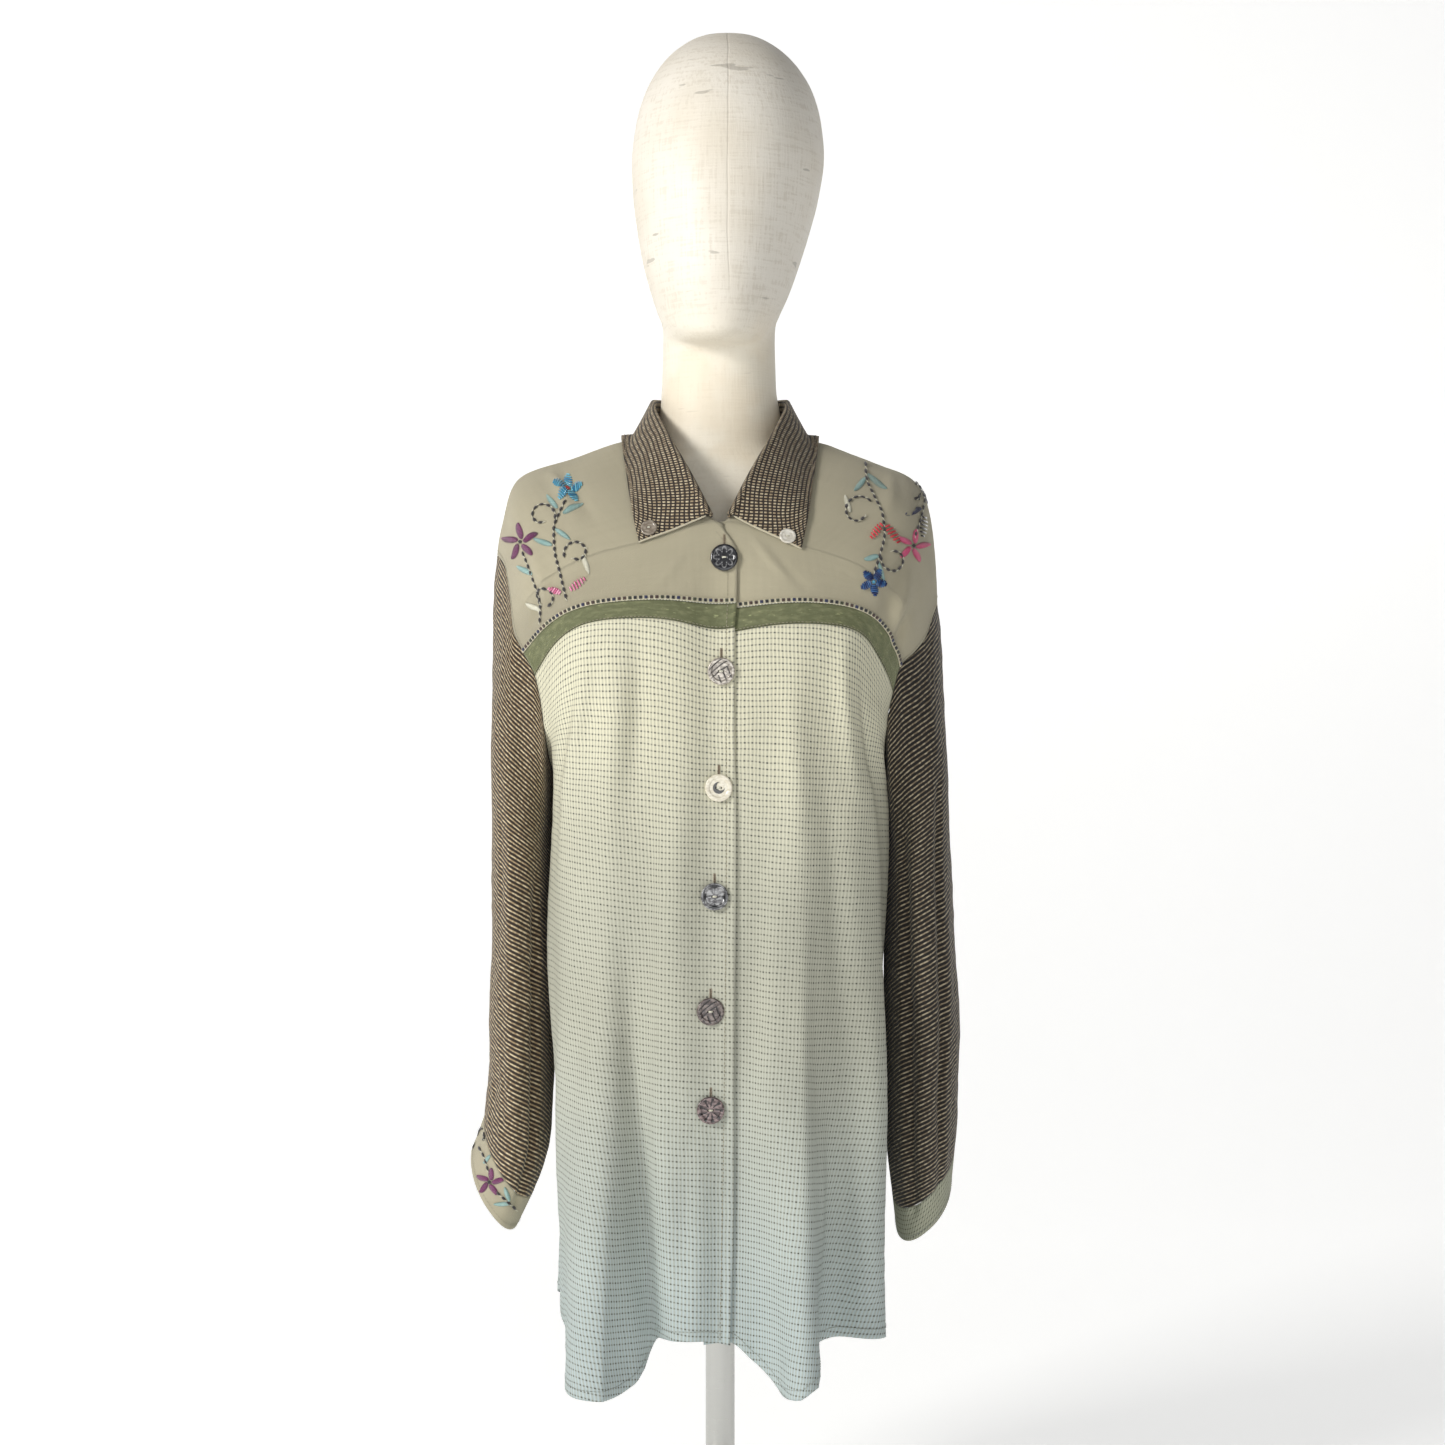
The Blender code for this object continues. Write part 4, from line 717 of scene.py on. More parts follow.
# %% Khaki, the dark weave, velvet and linen
def woven(name, colour, second, pitch, slub, roughness=0.85, sheen=0.2):
    """A plain weave: over and under in both directions, with slubs of a second colour along the threads."""
    made = Shader(name, roughness, Sheen_Weight=sheen, Sheen_Roughness=0.5)
    uv, u, v = made.cloth_uv()
    over = made.stripe(made.wave(u, pitch), 0.3, 0.2)
    under = made.stripe(made.wave(v, pitch), 0.3, 0.2)
    weave = made.math("ABSOLUTE", made.math("SUBTRACT", over, under))
    long_threads = made.noise(uv, 260.0, 3.0, (1, 0.06, 1))
    short_threads = made.noise(uv, 260.0, 3.0, (0.06, 1, 1))
    threads = made.math("MULTIPLY", made.math("ADD", long_threads, short_threads), 0.5)
    patchy = made.noise(uv, 18.0, 4.0)
    share = made.math("MULTIPLY_ADD", threads, slub, made.math("MULTIPLY_ADD", patchy, 0.5, -slub / 2))
    shade = made.mix(share, rgb(*colour), rgb(*second))
    shade = made.mix(made.both(made.math("SUBTRACT", 1.0, weave), 0.35), shade, rgb(*[0.55 * c for c in colour]))
    return made.finish(shade, made.math("ADD", weave, threads), 0.00018)


def dashed(name, ground, dash, pale, column, row, slope, wide, tall):
    """Short tan dashes on a dark ground, in upright columns whose rows slant by the slope."""
    made = Shader(name, 0.9, Sheen_Weight=0.12)
    uv, u, v = made.cloth_uv()
    wobble = made.math("MULTIPLY", made.math("SUBTRACT", made.noise(uv, 60.0, 2.0), 0.5), 0.0012)
    v = made.math("ADD", made.math("MULTIPLY_ADD", u, slope, v), wobble)
    u = made.math("ADD", u, wobble)
    marks = made.both(made.stripe(made.wave(u, column), wide, 0.10), made.stripe(made.wave(v, row), tall, 0.12))
    threads = made.noise(uv, 1100.0, 2.0, (0.4, 1, 1))
    picks = made.noise(uv, 240.0, 1.0)
    tan = made.mix(made.step(picks, 0.42, 0.62), rgb(*dash), rgb(*pale))
    marks = made.both(marks, made.math("MULTIPLY_ADD", picks, 0.7, 0.55))
    colour = made.mix(made.both(threads, 0.5), rgb(*ground), rgb(*[1.6 * c for c in ground]))
    colour = made.mix(marks, colour, tan)
    return made.finish(colour, made.math("ADD", marks, threads), 0.0003)


def velvet_ribbon(name, dark, light):
    """Crushed pile: small stretched patches that lean one way or the other, scattered painted highlights as
    glints, darker along both edges, and a strong sheen.
    """
    made = Shader(name, 0.6, Sheen_Weight=0.8, Sheen_Roughness=0.35, Sheen_Tint=rgb(210, 214, 184))
    uv, u, v = made.cloth_uv()
    patches = made.noise(uv, 230.0, 6.0, (0.5, 1, 1))
    painted_glints = made.step(made.noise(uv, 420.0, 3.0, (0.35, 1, 1)), 0.62, 0.72)
    pile = made.noise(uv, 1700.0, 2.0)
    down = made.math("DIVIDE", made.math("ADD", v, -BAND_SEAM), YOKE_SEAM - BAND_SEAM)
    edge = made.stripe(down, 0.42, 0.05)
    colour = made.mix(made.step(patches, 0.42, 0.72), rgb(*dark), rgb(*light))
    # Painted highlights: small flecks lifted towards a bright tone.
    colour = made.mix(made.both(painted_glints, 0.5), colour, rgb(*[min(1.5 * c, 255) for c in light]))
    colour = made.mix(made.both(made.math("SUBTRACT", 1.0, edge), 0.5), colour, rgb(*[0.6 * c for c in dark]))
    return made.finish(colour, made.math("MULTIPLY_ADD", patches, 2.0, pile), 0.0006)


khaki = woven("khaki_cloth", (212, 203, 174), (190, 181, 150), 0.00062, 0.8)
SLEEVE_COLUMN, SLEEVE_ROW, SLEEVE_SLOPE = 0.0030, 0.0040, 0.42
COLLAR_COLUMN, COLLAR_ROW = 0.0030, 0.0045
tweed = {
    LEFT: dashed("tweed_right", (42, 35, 29), (178, 154, 118), (220, 202, 166),
                 SLEEVE_COLUMN, SLEEVE_ROW, -SLEEVE_SLOPE, 0.60, 0.17),
    # The viewer's right sleeve is the same weave in darker colours: painted shade for the sleeve turned away from
    # the key light.
    RIGHT: dashed("tweed_left_painted_shade", (26, 23, 21), (142, 126, 102), (192, 178, 150),
                  SLEEVE_COLUMN, SLEEVE_ROW, SLEEVE_SLOPE, 0.60, 0.15),
    "collar": dashed("tweed_collar", (40, 34, 29), (186, 164, 132), (224, 208, 176),
                     COLLAR_COLUMN, COLLAR_ROW, 0, 0.24, 0.30),
}
velvet = velvet_ribbon("velvet_ribbon", (104, 108, 74), (128, 131, 94))

# %% [markdown]
# ## The panels
#
# A maker would cut two fronts, a back, three yoke pieces and a ribbon band under each front yoke. Here each is a
# grid over its own stretch of the body's surface, held a seam's width off its neighbours, as it would be sewn.

# %% Fronts, yokes, bands and back
SIDE_END = 1 - SEAM / 2 / HALF_WIDTH
PANEL_COLUMNS = 72
NAMES = {LEFT: "right", RIGHT: "left"}


def half_grid(side, across, levels, front):
    """Places over half the body: rows of levels, and shares across that the lap and the side slit shift."""
    places = across * (1 - vent(levels))
    if front:
        start = lap_start(side, levels)
        places = start + (1 - start) * places
    return places, levels


def cloth_uv(outer, places, levels, side):
    """Metres of cloth: the length along the row from the centre line, and the level, which is metres already."""
    run = measured(outer)
    zero = np.array([np.interp(0, row, lengths) for row, lengths in zip(places, run)])[:, None]
    return np.stack([side * (run - zero), np.where(levels > 0, -levels, levels)], axis=-1)


def front_piece(name, side, levels, finish):
    """One panel of a front. levels: an array of rows, one or all of its columns wide."""
    across = np.linspace(0, SIDE_END, PANEL_COLUMNS)
    places, levels = half_grid(side, across, np.broadcast_to(levels, (len(levels), PANEL_COLUMNS)), True)
    outer, normals = on_body(side, places, levels)
    return cloth(name, outer, normals, cloth_uv(outer, places, levels, side), finish), outer


def back_piece(name, levels, finish):
    """A panel across both halves of the back. levels: for each side an array of rows."""
    across = np.linspace(0, SIDE_END, PANEL_COLUMNS)
    halves = []
    for side in (LEFT, RIGHT):
        rows = np.broadcast_to(levels[side], (len(levels[side]), PANEL_COLUMNS))
        places, level = half_grid(side, across, rows, False)
        outer, normals = on_body(side, places, level)
        halves.append((outer, normals, cloth_uv(outer, places, level, side)))
    left, right = halves
    outer, normals, uv = (np.concatenate([a[:, :0:-1], b], axis=1) for a, b in zip(left, right))
    return cloth(name, outer, normals, uv, finish), outer


def even_levels(start, end, count):
    """Rows of levels from one to the other. The end may be a row of its own, such as a hem."""
    share = np.linspace(0, 1, count)[:, None]
    return start + (np.atleast_2d(end) - start) * share


def build_body():
    """The nine panels of the body, with a seam's room between them."""
    made = {}
    half = SEAM / 2
    across = np.linspace(0, SIDE_END, PANEL_COLUMNS)
    for side, word in NAMES.items():
        hem = hem_level(side, "front", across)
        for name, levels, finish, slot in (
                (f"yoke_front_{word}", even_levels(-half, YOKE_SEAM + half, 90), khaki, "khaki"),
                (f"band_{word}", even_levels(YOKE_SEAM - half, BAND_SEAM + half, 12), velvet, "velvet"),
                (f"front_{word}", even_levels(BAND_SEAM - half, hem, 250), checks["body"], "check")):
            made[name] = front_piece(name, side, levels, finish)
    hems = {side: even_levels(BACK_YOKE_SEAM + half, hem_level(side, "back", across), 170) for side in NAMES}
    yoke = even_levels(half, BACK_YOKE_SEAM - half, 70)
    made["yoke_back"] = back_piece("yoke_back", {LEFT: yoke, RIGHT: yoke}, khaki)
    made["back"] = back_piece("back", hems, checks["body"])
    return made


panels = build_body()
for name, (piece, outer) in panels.items():
    declare(piece, outer, "hung", ["dress_form"])
print("cuts in metres:", CUTS)

# %% [markdown]
# ## Sleeves and cuffs
#
# A sleeve hangs empty from its armhole: flat ovals whose level climbs outwards at the top, where the sleeve cap
# stands. It starts on the armhole's own line and turns into its ovals on the way down. Long creases run along
# it, with short slanting ones at the elbow.

# %% Sleeves
# along: 0 at the armhole, 1 at the cuff. out, y and z: its middle. wide and deep: half its width and depth.
# rise_out, rise_back: how its level climbs outwards and backwards.
Ring = namedtuple("Ring", "along out y z wide deep rise_out rise_back")
SLEEVE_RINGS = named(Ring, {
    LEFT: [
        (0.00, 0.1680, 0.000, 0.757, 0.0265, 0.070, 3.70, 0.00),
        (0.10, 0.1690, 0.001, 0.724, 0.0268, 0.074, 3.15, 0.00),
        (0.25, 0.1695, 0.003, 0.662, 0.0270, 0.078, 2.00, 0.00),
        (0.50, 0.1695, 0.006, 0.555, 0.0258, 0.078, 0.75, 0.05),
        (0.75, 0.1710, 0.012, 0.450, 0.0270, 0.071, 0.60, 0.12),
        (0.90, 0.1735, 0.018, 0.385, 0.0270, 0.062, 0.90, 0.25),
        (1.00, 0.1825, 0.022, 0.343, 0.0220, 0.049, 1.35, 0.36),
    ],
    RIGHT: [
        (0.00, 0.1630, 0.000, 0.736, 0.0265, 0.066, 3.00, 0.00),
        (0.10, 0.1645, 0.001, 0.706, 0.0268, 0.071, 2.60, 0.00),
        (0.25, 0.1670, 0.003, 0.652, 0.0275, 0.077, 1.65, 0.00),
        (0.50, 0.1700, 0.006, 0.548, 0.0290, 0.078, 0.70, 0.05),
        (0.75, 0.1735, 0.010, 0.440, 0.0320, 0.072, 0.55, 0.12),
        (0.90, 0.1745, 0.014, 0.372, 0.0305, 0.063, 0.70, 0.25),
        (1.00, 0.1760, 0.018, 0.330, 0.0270, 0.050, 0.85, 0.36),
    ],
})
SLEEVE_JOIN = 0.30
OVAL_POWER = 0.85
# Folds of a sleeve. round: 0 at the top, 0.25 in front, 0.5 towards the body. start, end: where along it.
SleeveFold = namedtuple("SleeveFold", "round_top round_end start end width depth")
SLEEVE_FOLDS = named(SleeveFold, {
    LEFT: [
        (0.34, 0.33, 0.30, 1.02, 0.035, -0.0080),
        (0.22, 0.24, 0.20, 0.98, 0.050, 0.0030),
        (0.64, 0.66, 0.30, 1.00, 0.060, -0.0060),
        (0.80, 0.82, 0.15, 1.00, 0.060, 0.0040),
    ],
    RIGHT: [
        (0.17, 0.20, 0.15, 1.00, 0.030, -0.0060),
        (0.33, 0.31, 0.12, 1.02, 0.040, -0.0070),
        (0.25, 0.26, 0.20, 0.98, 0.040, 0.0030),
        (0.68, 0.66, 0.30, 1.00, 0.060, -0.0060),
    ],
})
FOLD_GROWS = 0.35
FOLD_SHRINKS = 0.20
SLEEVE_LONG = 0.53
SLEEVE_ROUND = 0.36
ARMHOLE_GAP = 0.0005
CUFF_HEIGHT = 0.035
CUFF_SEAM = 0.00045
CUFF_AXIS = {LEFT: (0.38, 0.24, -0.90), RIGHT: (0.02, 0.24, -0.97)}
CUFF_TAPER = {LEFT: 0.95, RIGHT: 0.88}
# Creases of a sleeve: out is round it and down is along it, both in millimetres.
SLEEVE_CREASES = named(Crease, {
    LEFT: [
        (126, 290, 58, 26, 6, 2.4), (118, 312, 52, 30, 6, -2.6), (120, 338, 50, 26, 6, 2.2),
        (80, 120, -8, 70, 9, 1.6), (60, 250, -6, 90, 8, -1.6), (96, 420, -6, 70, 8, 2.0),
        (50, 460, -12, 50, 7, -1.8), (112, 480, -10, 40, 6, 1.6), (70, 500, 6, 26, 5, 1.4),
        (230, 300, 14, 70, 9, 2.2), (270, 380, -10, 60, 9, -2.0), (300, 180, 8, 80, 9, 1.8),
    ],
    RIGHT: [
        (128, 300, -56, 26, 6, 2.2), (116, 330, -48, 34, 7, -2.8), (124, 352, -50, 28, 6, 2.4),
        (60, 110, 10, 80, 8, 1.8), (84, 220, 6, 100, 8, -1.8), (50, 330, 4, 100, 7, 2.0),
        (72, 430, 8, 70, 7, -2.0), (104, 470, 10, 50, 6, 1.8), (58, 500, -6, 26, 5, 1.4),
        (230, 300, -14, 70, 9, 2.2), (270, 380, 10, 60, 9, -2.0), (300, 180, -8, 80, 9, 1.8),
    ],
})


def armhole(side, round_it):
    """The armhole's line and the direction out of the blouse there. round_it: 0 at the shoulder, 0.5 below."""
    round_it = round_it % 1
    level = np.where(round_it <= 0.5, -2 * ARMPIT * round_it, 2 * ARMPIT * (1 - round_it))
    edge = np.ones_like(level)
    return plain_points(side, edge, level), body_normals(side, edge, level)


def oval(side, round_it, along):
    """Rings of the sleeve: an oval whose height follows how far out and back each point lies."""
    rows = SLEEVE_RINGS[side]
    out, y, z, wide, deep, rise_out, rise_back = np.moveaxis(
        smooth([row.along for row in rows], [row[1:] for row in rows], along), -1, 0)
    angle = 2 * math.pi * round_it
    step_out = wide * np.sign(np.cos(angle)) * np.abs(np.cos(angle)) ** OVAL_POWER
    step_y = -deep * np.sin(angle)
    height = z + rise_out * step_out + rise_back * step_y
    return np.stack([side * (out + step_out), y + step_y, height], axis=-1)


def sleeve_points(side, round_it, along, fine=True):
    """The sleeve's outer surface: its rings drawn onto the armhole at the top, then moved out by its folds."""
    round_it, along = np.broadcast_arrays(np.asarray(round_it, float), np.asarray(along, float))
    points = oval(side, round_it, along)
    missing = armhole(side, round_it)[0] - oval(side, round_it, np.zeros_like(along))
    points = points + missing * (1 - ease(along / SLEEVE_JOIN))[..., None]
    angle = 2 * math.pi * round_it
    outward = np.stack([side * np.cos(angle), -np.sin(angle), np.zeros_like(angle)], axis=-1)
    depth = np.zeros(along.shape)
    for fold in SLEEVE_FOLDS[side]:
        share = np.clip((along - fold.start) / (fold.end - fold.start), 0, 1)
        place = fold.round_top + (fold.round_end - fold.round_top) * share
        strength = ease(share / FOLD_GROWS) * (1 - 0.5 * ease((share - 1 + FOLD_SHRINKS) / FOLD_SHRINKS))
        depth += fold.depth * strength * bump(round_it % 1 - place, fold.width, fold.width)
    if fine:
        u, v = (round_it % 1) * SLEEVE_ROUND, along * SLEEVE_LONG
        soft = pressed(u, v, SLEEVE_CREASES[side])
        soft = soft + 0.0008 * ripples(2.5 * u, v, 0.15, 12, 6) + 0.0003 * ripples(1.5 * u, v, 0.02, 16, 8)
        fading = ease(along / 0.06) * ease((1 - along) / 0.03) * ease(2 * np.abs(round_it % 1 - 0.5) / 0.1)
        depth = depth + soft * fading
    return points + outward * depth[..., None]


def sleeve_normals(side, round_it, along, fine=True):
    """Round the sleeve crossed with down it, by small steps."""
    step = 2e-3
    around = sleeve_points(side, round_it + step, along, fine) - sleeve_points(side, round_it - step, along, fine)
    down = sleeve_points(side, round_it, along + step, fine)
    down = down - sleeve_points(side, round_it, np.maximum(along - step, 0), fine)
    return unit(np.cross(around, down)) * side


def closed_uv(outer, side, turn, tall):
    """Metres round and down a closed piece, from its seam at the first column."""
    run = measured(np.concatenate([outer, outer[:, :1]], axis=1))
    middle = run[:, -1:] * turn
    return np.stack([side * (run - middle), -np.broadcast_to(tall, run.shape)], axis=-1)


def build_sleeve(side, columns=120, rows=190):
    """The sleeve, its seam under the arm."""
    name = f"sleeve_{NAMES[side]}"
    round_it = 0.5 + np.arange(columns) / columns
    turn, along = np.meshgrid(round_it, np.linspace(0, 1, rows))
    outer = sleeve_points(side, turn, along)
    normals = sleeve_normals(side, turn, along)
    down = unit(outer[1] - outer[0])
    around = np.roll(outer[0], -1, 0) - np.roll(outer[0], 1, 0)
    normals[0] = unit(np.cross(around, down)) * side
    body_out = armhole(side, round_it)[1]
    lean = 1 - (normals[0] * body_out).sum(axis=1, keepdims=True)
    outer[0] += ARMHOLE_GAP * (down + np.clip(lean, 0, 1) * body_out)
    height = sleeve_points(side, turn, along, False)[..., 2]
    uv = closed_uv(outer, side, 0.5, -np.concatenate([height, height[:, :1]], axis=1))
    return cloth(name, outer, normals, uv, tweed[side], closed=True), outer


def cuff_points(side, round_it, down):
    """The cuff: the sleeve's end ring, drawn to an even oval and moved along the cuff's axis."""
    top, even = sleeve_points(side, round_it, np.ones_like(down), False), oval(side, round_it, np.ones_like(down))
    middle = oval(side, np.array([0.0, 0.25, 0.5, 0.75]), np.ones(4)).mean(axis=0)
    axis = unit(np.array(CUFF_AXIS[side])) * (side, 1, 1)
    size = 1 - (1 - CUFF_TAPER[side]) * down[..., None]
    ring = top + (even - top) * ease(2 * down)[..., None]
    return middle + (ring - middle) * size + axis * (CUFF_SEAM + CUFF_HEIGHT * down[..., None])


def build_cuff(side, finish, columns=120, rows=16):
    """The cuff, its seam in line with the sleeve's."""
    name = f"cuff_{NAMES[side]}"
    turn, down = np.meshgrid(0.5 + np.arange(columns) / columns, np.linspace(0, 1, rows))
    outer = cuff_points(side, turn, down)
    around = np.roll(outer, -1, 1) - np.roll(outer, 1, 1)
    axis = unit(np.array(CUFF_AXIS[side])) * (side, 1, 1)
    normals = unit(np.cross(around, np.broadcast_to(axis, around.shape))) * side
    normals[0] = sleeve_normals(side, turn[0], np.ones(columns), False)
    uv = closed_uv(outer, side, 0.5, CUFF_HEIGHT * down[:, :1])
    return cloth(name, outer, normals, uv, finish, closed=True), outer


for side, finish, slot in ((LEFT, khaki, "khaki"), (RIGHT, checks["cuff"], "check")):
    declare(*build_sleeve(side), "hung", [], closed=True)
    declare(*build_cuff(side, finish), "hung", [], closed=True)

# %% [markdown]
# ## The collar
#
# A flat collar with a low stand: it rises from the neck seam, rolls over in a small arc and falls onto the
# yokes. One line up and over it is worked out from where the fold and the outer edge lie, and swept round.

# %% The collar
CollarRow = namedtuple("CollarRow", "level fold outer")
COLLAR = [CollarRow(*row) for row in (
    (0.110, (0.0000, 0.058, 0.996), (0.0000, 0.0945, 0.944)),
    (0.075, (0.0330, 0.049, 0.995), (0.0520, 0.0790, 0.947)),
    (0.035, (0.0530, 0.018, 0.993), (0.0805, 0.0330, 0.952)),
    (0.000, (0.0545, -0.012, 0.986), (0.0830, -0.0120, 0.947)),
    (-0.050, (0.0420, -0.059, 0.957), (0.0775, -0.0720, 0.916)),
    (-0.095, (0.0210, -0.099, 0.918), (0.0715, -0.1090, 0.884)),
    (-0.122, (0.0050, -0.116, 0.886), (0.0660, -0.1180, 0.8600)),
)]
COLLAR_ROLL = 0.0034
COLLAR_DROP = {LEFT: 0.0, RIGHT: 0.006}
COLLAR_REST = 0.0014
COLLAR_RIDGE = 0.0028
RIDGE_REACH = 0.035
STAND_ROWS, ROLL_ROWS, FALL_ROWS = 7, 12, 24
AT_ONCE = 400


def collar_half(side, levels):
    """Half the collar: for each level round the neck, up the stand, over the roll, and down the fall."""
    rows = smooth([-row.level for row in COLLAR], [[*row.fold, *row.outer] for row in COLLAR], -levels)
    fold, outer = rows[:, :3].copy(), rows[:, 3:].copy()
    seam = plain_points(side, np.zeros_like(levels), levels) * (side, 1, 1)
    up = unit(fold - seam)
    outwards = unit(outer - fold - up * ((outer - fold) * up).sum(axis=1, keepdims=True))
    centre = fold - up * COLLAR_ROLL + outwards * COLLAR_ROLL
    top = fold - up * COLLAR_ROLL
    share = np.linspace(0, 1, STAND_ROWS, endpoint=False)[:, None, None]
    first = seam + up * SEAM * 3
    stand = first + (top - first) * share
    angle = np.linspace(0, math.pi, ROLL_ROWS)[:, None, None]
    roll = centre + COLLAR_ROLL * (up * np.sin(angle) - outwards * np.cos(angle))
    outer[:, 2] -= COLLAR_DROP[side] * ease(levels / NECK_FRONT)
    share = np.linspace(0, 1, FALL_ROWS)[1:, None, None]
    fall = roll[-1] + (outer - roll[-1]) * share
    return np.concatenate([stand, roll, fall]) * (side, 1, 1)


def lifted(points, ground, directions, room, reach=1.0):
    """Points moved along the nearest sample's direction until they lie at least room beyond it.

    A point stays where it is if its nearest sample lies further beside it than the reach."""
    flat = points.reshape(-1, 3)
    room = np.broadcast_to(room, points.shape[:-1]).ravel()
    moved = flat.copy()
    for first in range(0, len(flat), AT_ONCE):
        part = slice(first, first + AT_ONCE)
        nearest = ((flat[part, None] - ground[None]) ** 2).sum(axis=-1).argmin(axis=1)
        away = flat[part] - ground[nearest]
        height = (away * directions[nearest]).sum(axis=1)
        beside = (away**2).sum(axis=1) - height**2
        needed = np.maximum(room[part] - height, 0) * (beside < reach**2)
        moved[part] += directions[nearest] * needed[:, None]
    return moved.reshape(points.shape)


def yoke_samples(spacing=0.003):
    """Points and directions all over the yokes, to lay things on."""
    places = []
    for side in (LEFT, RIGHT):
        for low, high in ((YOKE_SEAM, 0.0), (0.0, BACK_YOKE_SEAM)):
            across, level = np.meshgrid(np.arange(0, 1, spacing / HALF_WIDTH), np.arange(low, high, spacing))
            places.append(on_body(side, across, level))
    return [np.concatenate([pair[k].reshape(-1, 3) for pair in places]) for k in (0, 1)]


def build_collar(columns=80):
    """Both halves, joined at the centre back, and lifted off the yokes where the fall would sink into them."""
    levels = NECK_BACK + (NECK_FRONT - NECK_BACK) * np.linspace(0, 1, columns)
    left, right = collar_half(LEFT, levels), collar_half(RIGHT, levels)
    outer = np.concatenate([left[:, :0:-1], right], axis=1)
    ground, directions = yoke_samples()
    rest = COLLAR_CLOTH + COLLAR_REST + COLLAR_RIDGE * bump(outer[..., 1], RIDGE_REACH, RIDGE_REACH)
    start = STAND_ROWS + ROLL_ROWS // 2
    outer[start:] = lifted(outer[start:], ground, directions, rest[start:])
    around, down = np.gradient(outer, axis=1), np.gradient(outer, axis=0)
    normals = unit(np.cross(around, down))
    run = measured(outer)
    zero = run[:, columns - 1:columns]
    tall = measured(outer.swapaxes(0, 1)).T
    uv = np.stack([run - zero, -tall], axis=-1)
    piece = cloth("collar", outer, normals, uv, tweed["collar"], thickness=COLLAR_CLOTH)
    return piece, outer, normals


collar_piece, collar_outer, collar_normals = build_collar()
declare(collar_piece, collar_outer, "folded", ["yoke_back"])

# %% [markdown]
# ## The dress form and its stand
#
# The form is turned from rings: hip, waist, chest, shoulders, neck and an egg for a head, covered in cream linen
# with a seam down its middle. Under the blouse it is pressed in to lie just below the yokes.

# %% The form
# Each ring: its height, how far it leans out, half its width, its front and back depth, squareness and tilt.
FORM = np.array([
    (0.345, 0, 0.105, 0.085, 0.080, 2.3, 0),
    (0.352, 0, 0.113, 0.094, 0.088, 2.3, 0),
    (0.370, 0, 0.117, 0.098, 0.094, 2.3, 0),
    (0.430, 0, 0.120, 0.100, 0.099, 2.3, 0),
    (0.500, 0, 0.112, 0.094, 0.090, 2.2, 0),
    (0.560, 0, 0.104, 0.090, 0.080, 2.2, 0),
    (0.620, 0, 0.111, 0.099, 0.083, 2.2, 0),
    (0.690, 0, 0.121, 0.110, 0.090, 2.3, 0),
    (0.740, 0, 0.127, 0.112, 0.094, 2.3, 0),
    (0.790, 0, 0.137, 0.108, 0.092, 2.3, 0),
    (0.830, 0, 0.151, 0.098, 0.088, 2.2, 0),
    (0.865, 0, 0.163, 0.086, 0.079, 2.1, 0),
    (0.887, 0, 0.166, 0.076, 0.070, 2.0, 0),
    (0.906, 0, 0.158, 0.066, 0.062, 2.0, 0),
    (0.921, 0, 0.138, 0.057, 0.056, 2.0, 0),
    (0.933, 0, 0.106, 0.050, 0.052, 2.0, 0),
    (0.941, 0, 0.071, 0.046, 0.049, 2.0, 0),
    (0.954, 0, 0.0540, 0.043, 0.047, 2.0, 0),
    (0.975, 0, 0.0520, 0.042, 0.046, 2.0, 0),
    (1.000, -0.001, 0.0492, 0.041, 0.047, 2.0, 0),
    (1.024, -0.001, 0.0484, 0.042, 0.049, 2.0, 0.08),
    (1.043, -0.001, 0.0480, 0.050, 0.051, 2.0, 0.22),
    (1.056, -0.001, 0.0487, 0.066, 0.055, 2.0, 0.36),
    (1.066, -0.001, 0.0525, 0.079, 0.060, 2.0, 0.36),
    (1.082, 0.000, 0.0590, 0.087, 0.068, 2.0, 0.30),
    (1.105, 0.001, 0.0665, 0.092, 0.079, 2.0, 0.20),
    (1.135, 0.003, 0.0740, 0.094, 0.091, 2.0, 0.10),
    (1.165, 0.005, 0.0797, 0.094, 0.100, 2.0, 0.03),
    (1.197, 0.0067, 0.0826, 0.092, 0.105, 2.0, 0),
    (1.227, 0.0073, 0.0796, 0.087, 0.101, 2.0, 0),
    (1.252, 0.0076, 0.0727, 0.077, 0.092, 2.0, 0),
    (1.274, 0.0072, 0.0605, 0.062, 0.078, 2.0, 0),
    (1.291, 0.0068, 0.0440, 0.042, 0.060, 2.0, 0),
    (1.302, 0.0064, 0.0250, 0.020, 0.040, 2.0, 0),
    (1.3065, 0.0062, 0.0080, 0.000, 0.022, 2.0, 0),
])
FITTED_FROM, FITTED_TO = 0.76, 0.99
FORM_CLEAR = 0.0022
COVERED = 0.012


def form_points(columns, rows):
    """Superellipse rings, spaced evenly along the outline so that the crown is as fine as the chest."""
    outline = np.concatenate([[0], np.cumsum(np.hypot(np.diff(FORM[:, 0]), np.diff(FORM[:, 2])))])
    z, lean, wide, front, back, squareness, tilt = np.moveaxis(
        smooth(outline, FORM, np.linspace(0, outline[-1], rows)), -1, 0)[..., None]
    angle = np.arange(columns) * 2 * math.pi / columns
    c, s = np.cos(angle), np.sin(angle)
    power = 2 / squareness
    x = lean + wide * np.sign(c) * np.abs(c) ** power
    y = np.where(s < 0, front, back) * np.sign(s) * np.abs(s) ** power
    return np.stack([x, y, z + tilt * y], axis=-1)


def fan_ends(points, rows, columns):
    """Triangles from each end ring to a point in its middle."""
    low, high = len(points), len(points) + 1
    ring = np.arange(columns)
    last = (rows - 1) * columns
    bottom = np.stack([np.roll(ring, -1), ring, np.full(columns, low)], -1)
    top = np.stack([ring + last, np.roll(ring, -1) + last, np.full(columns, high)], -1)
    middles = np.stack([points[:columns].mean(axis=0), points[last:].mean(axis=0)])
    return np.concatenate([points, middles]), np.concatenate([bottom, top])


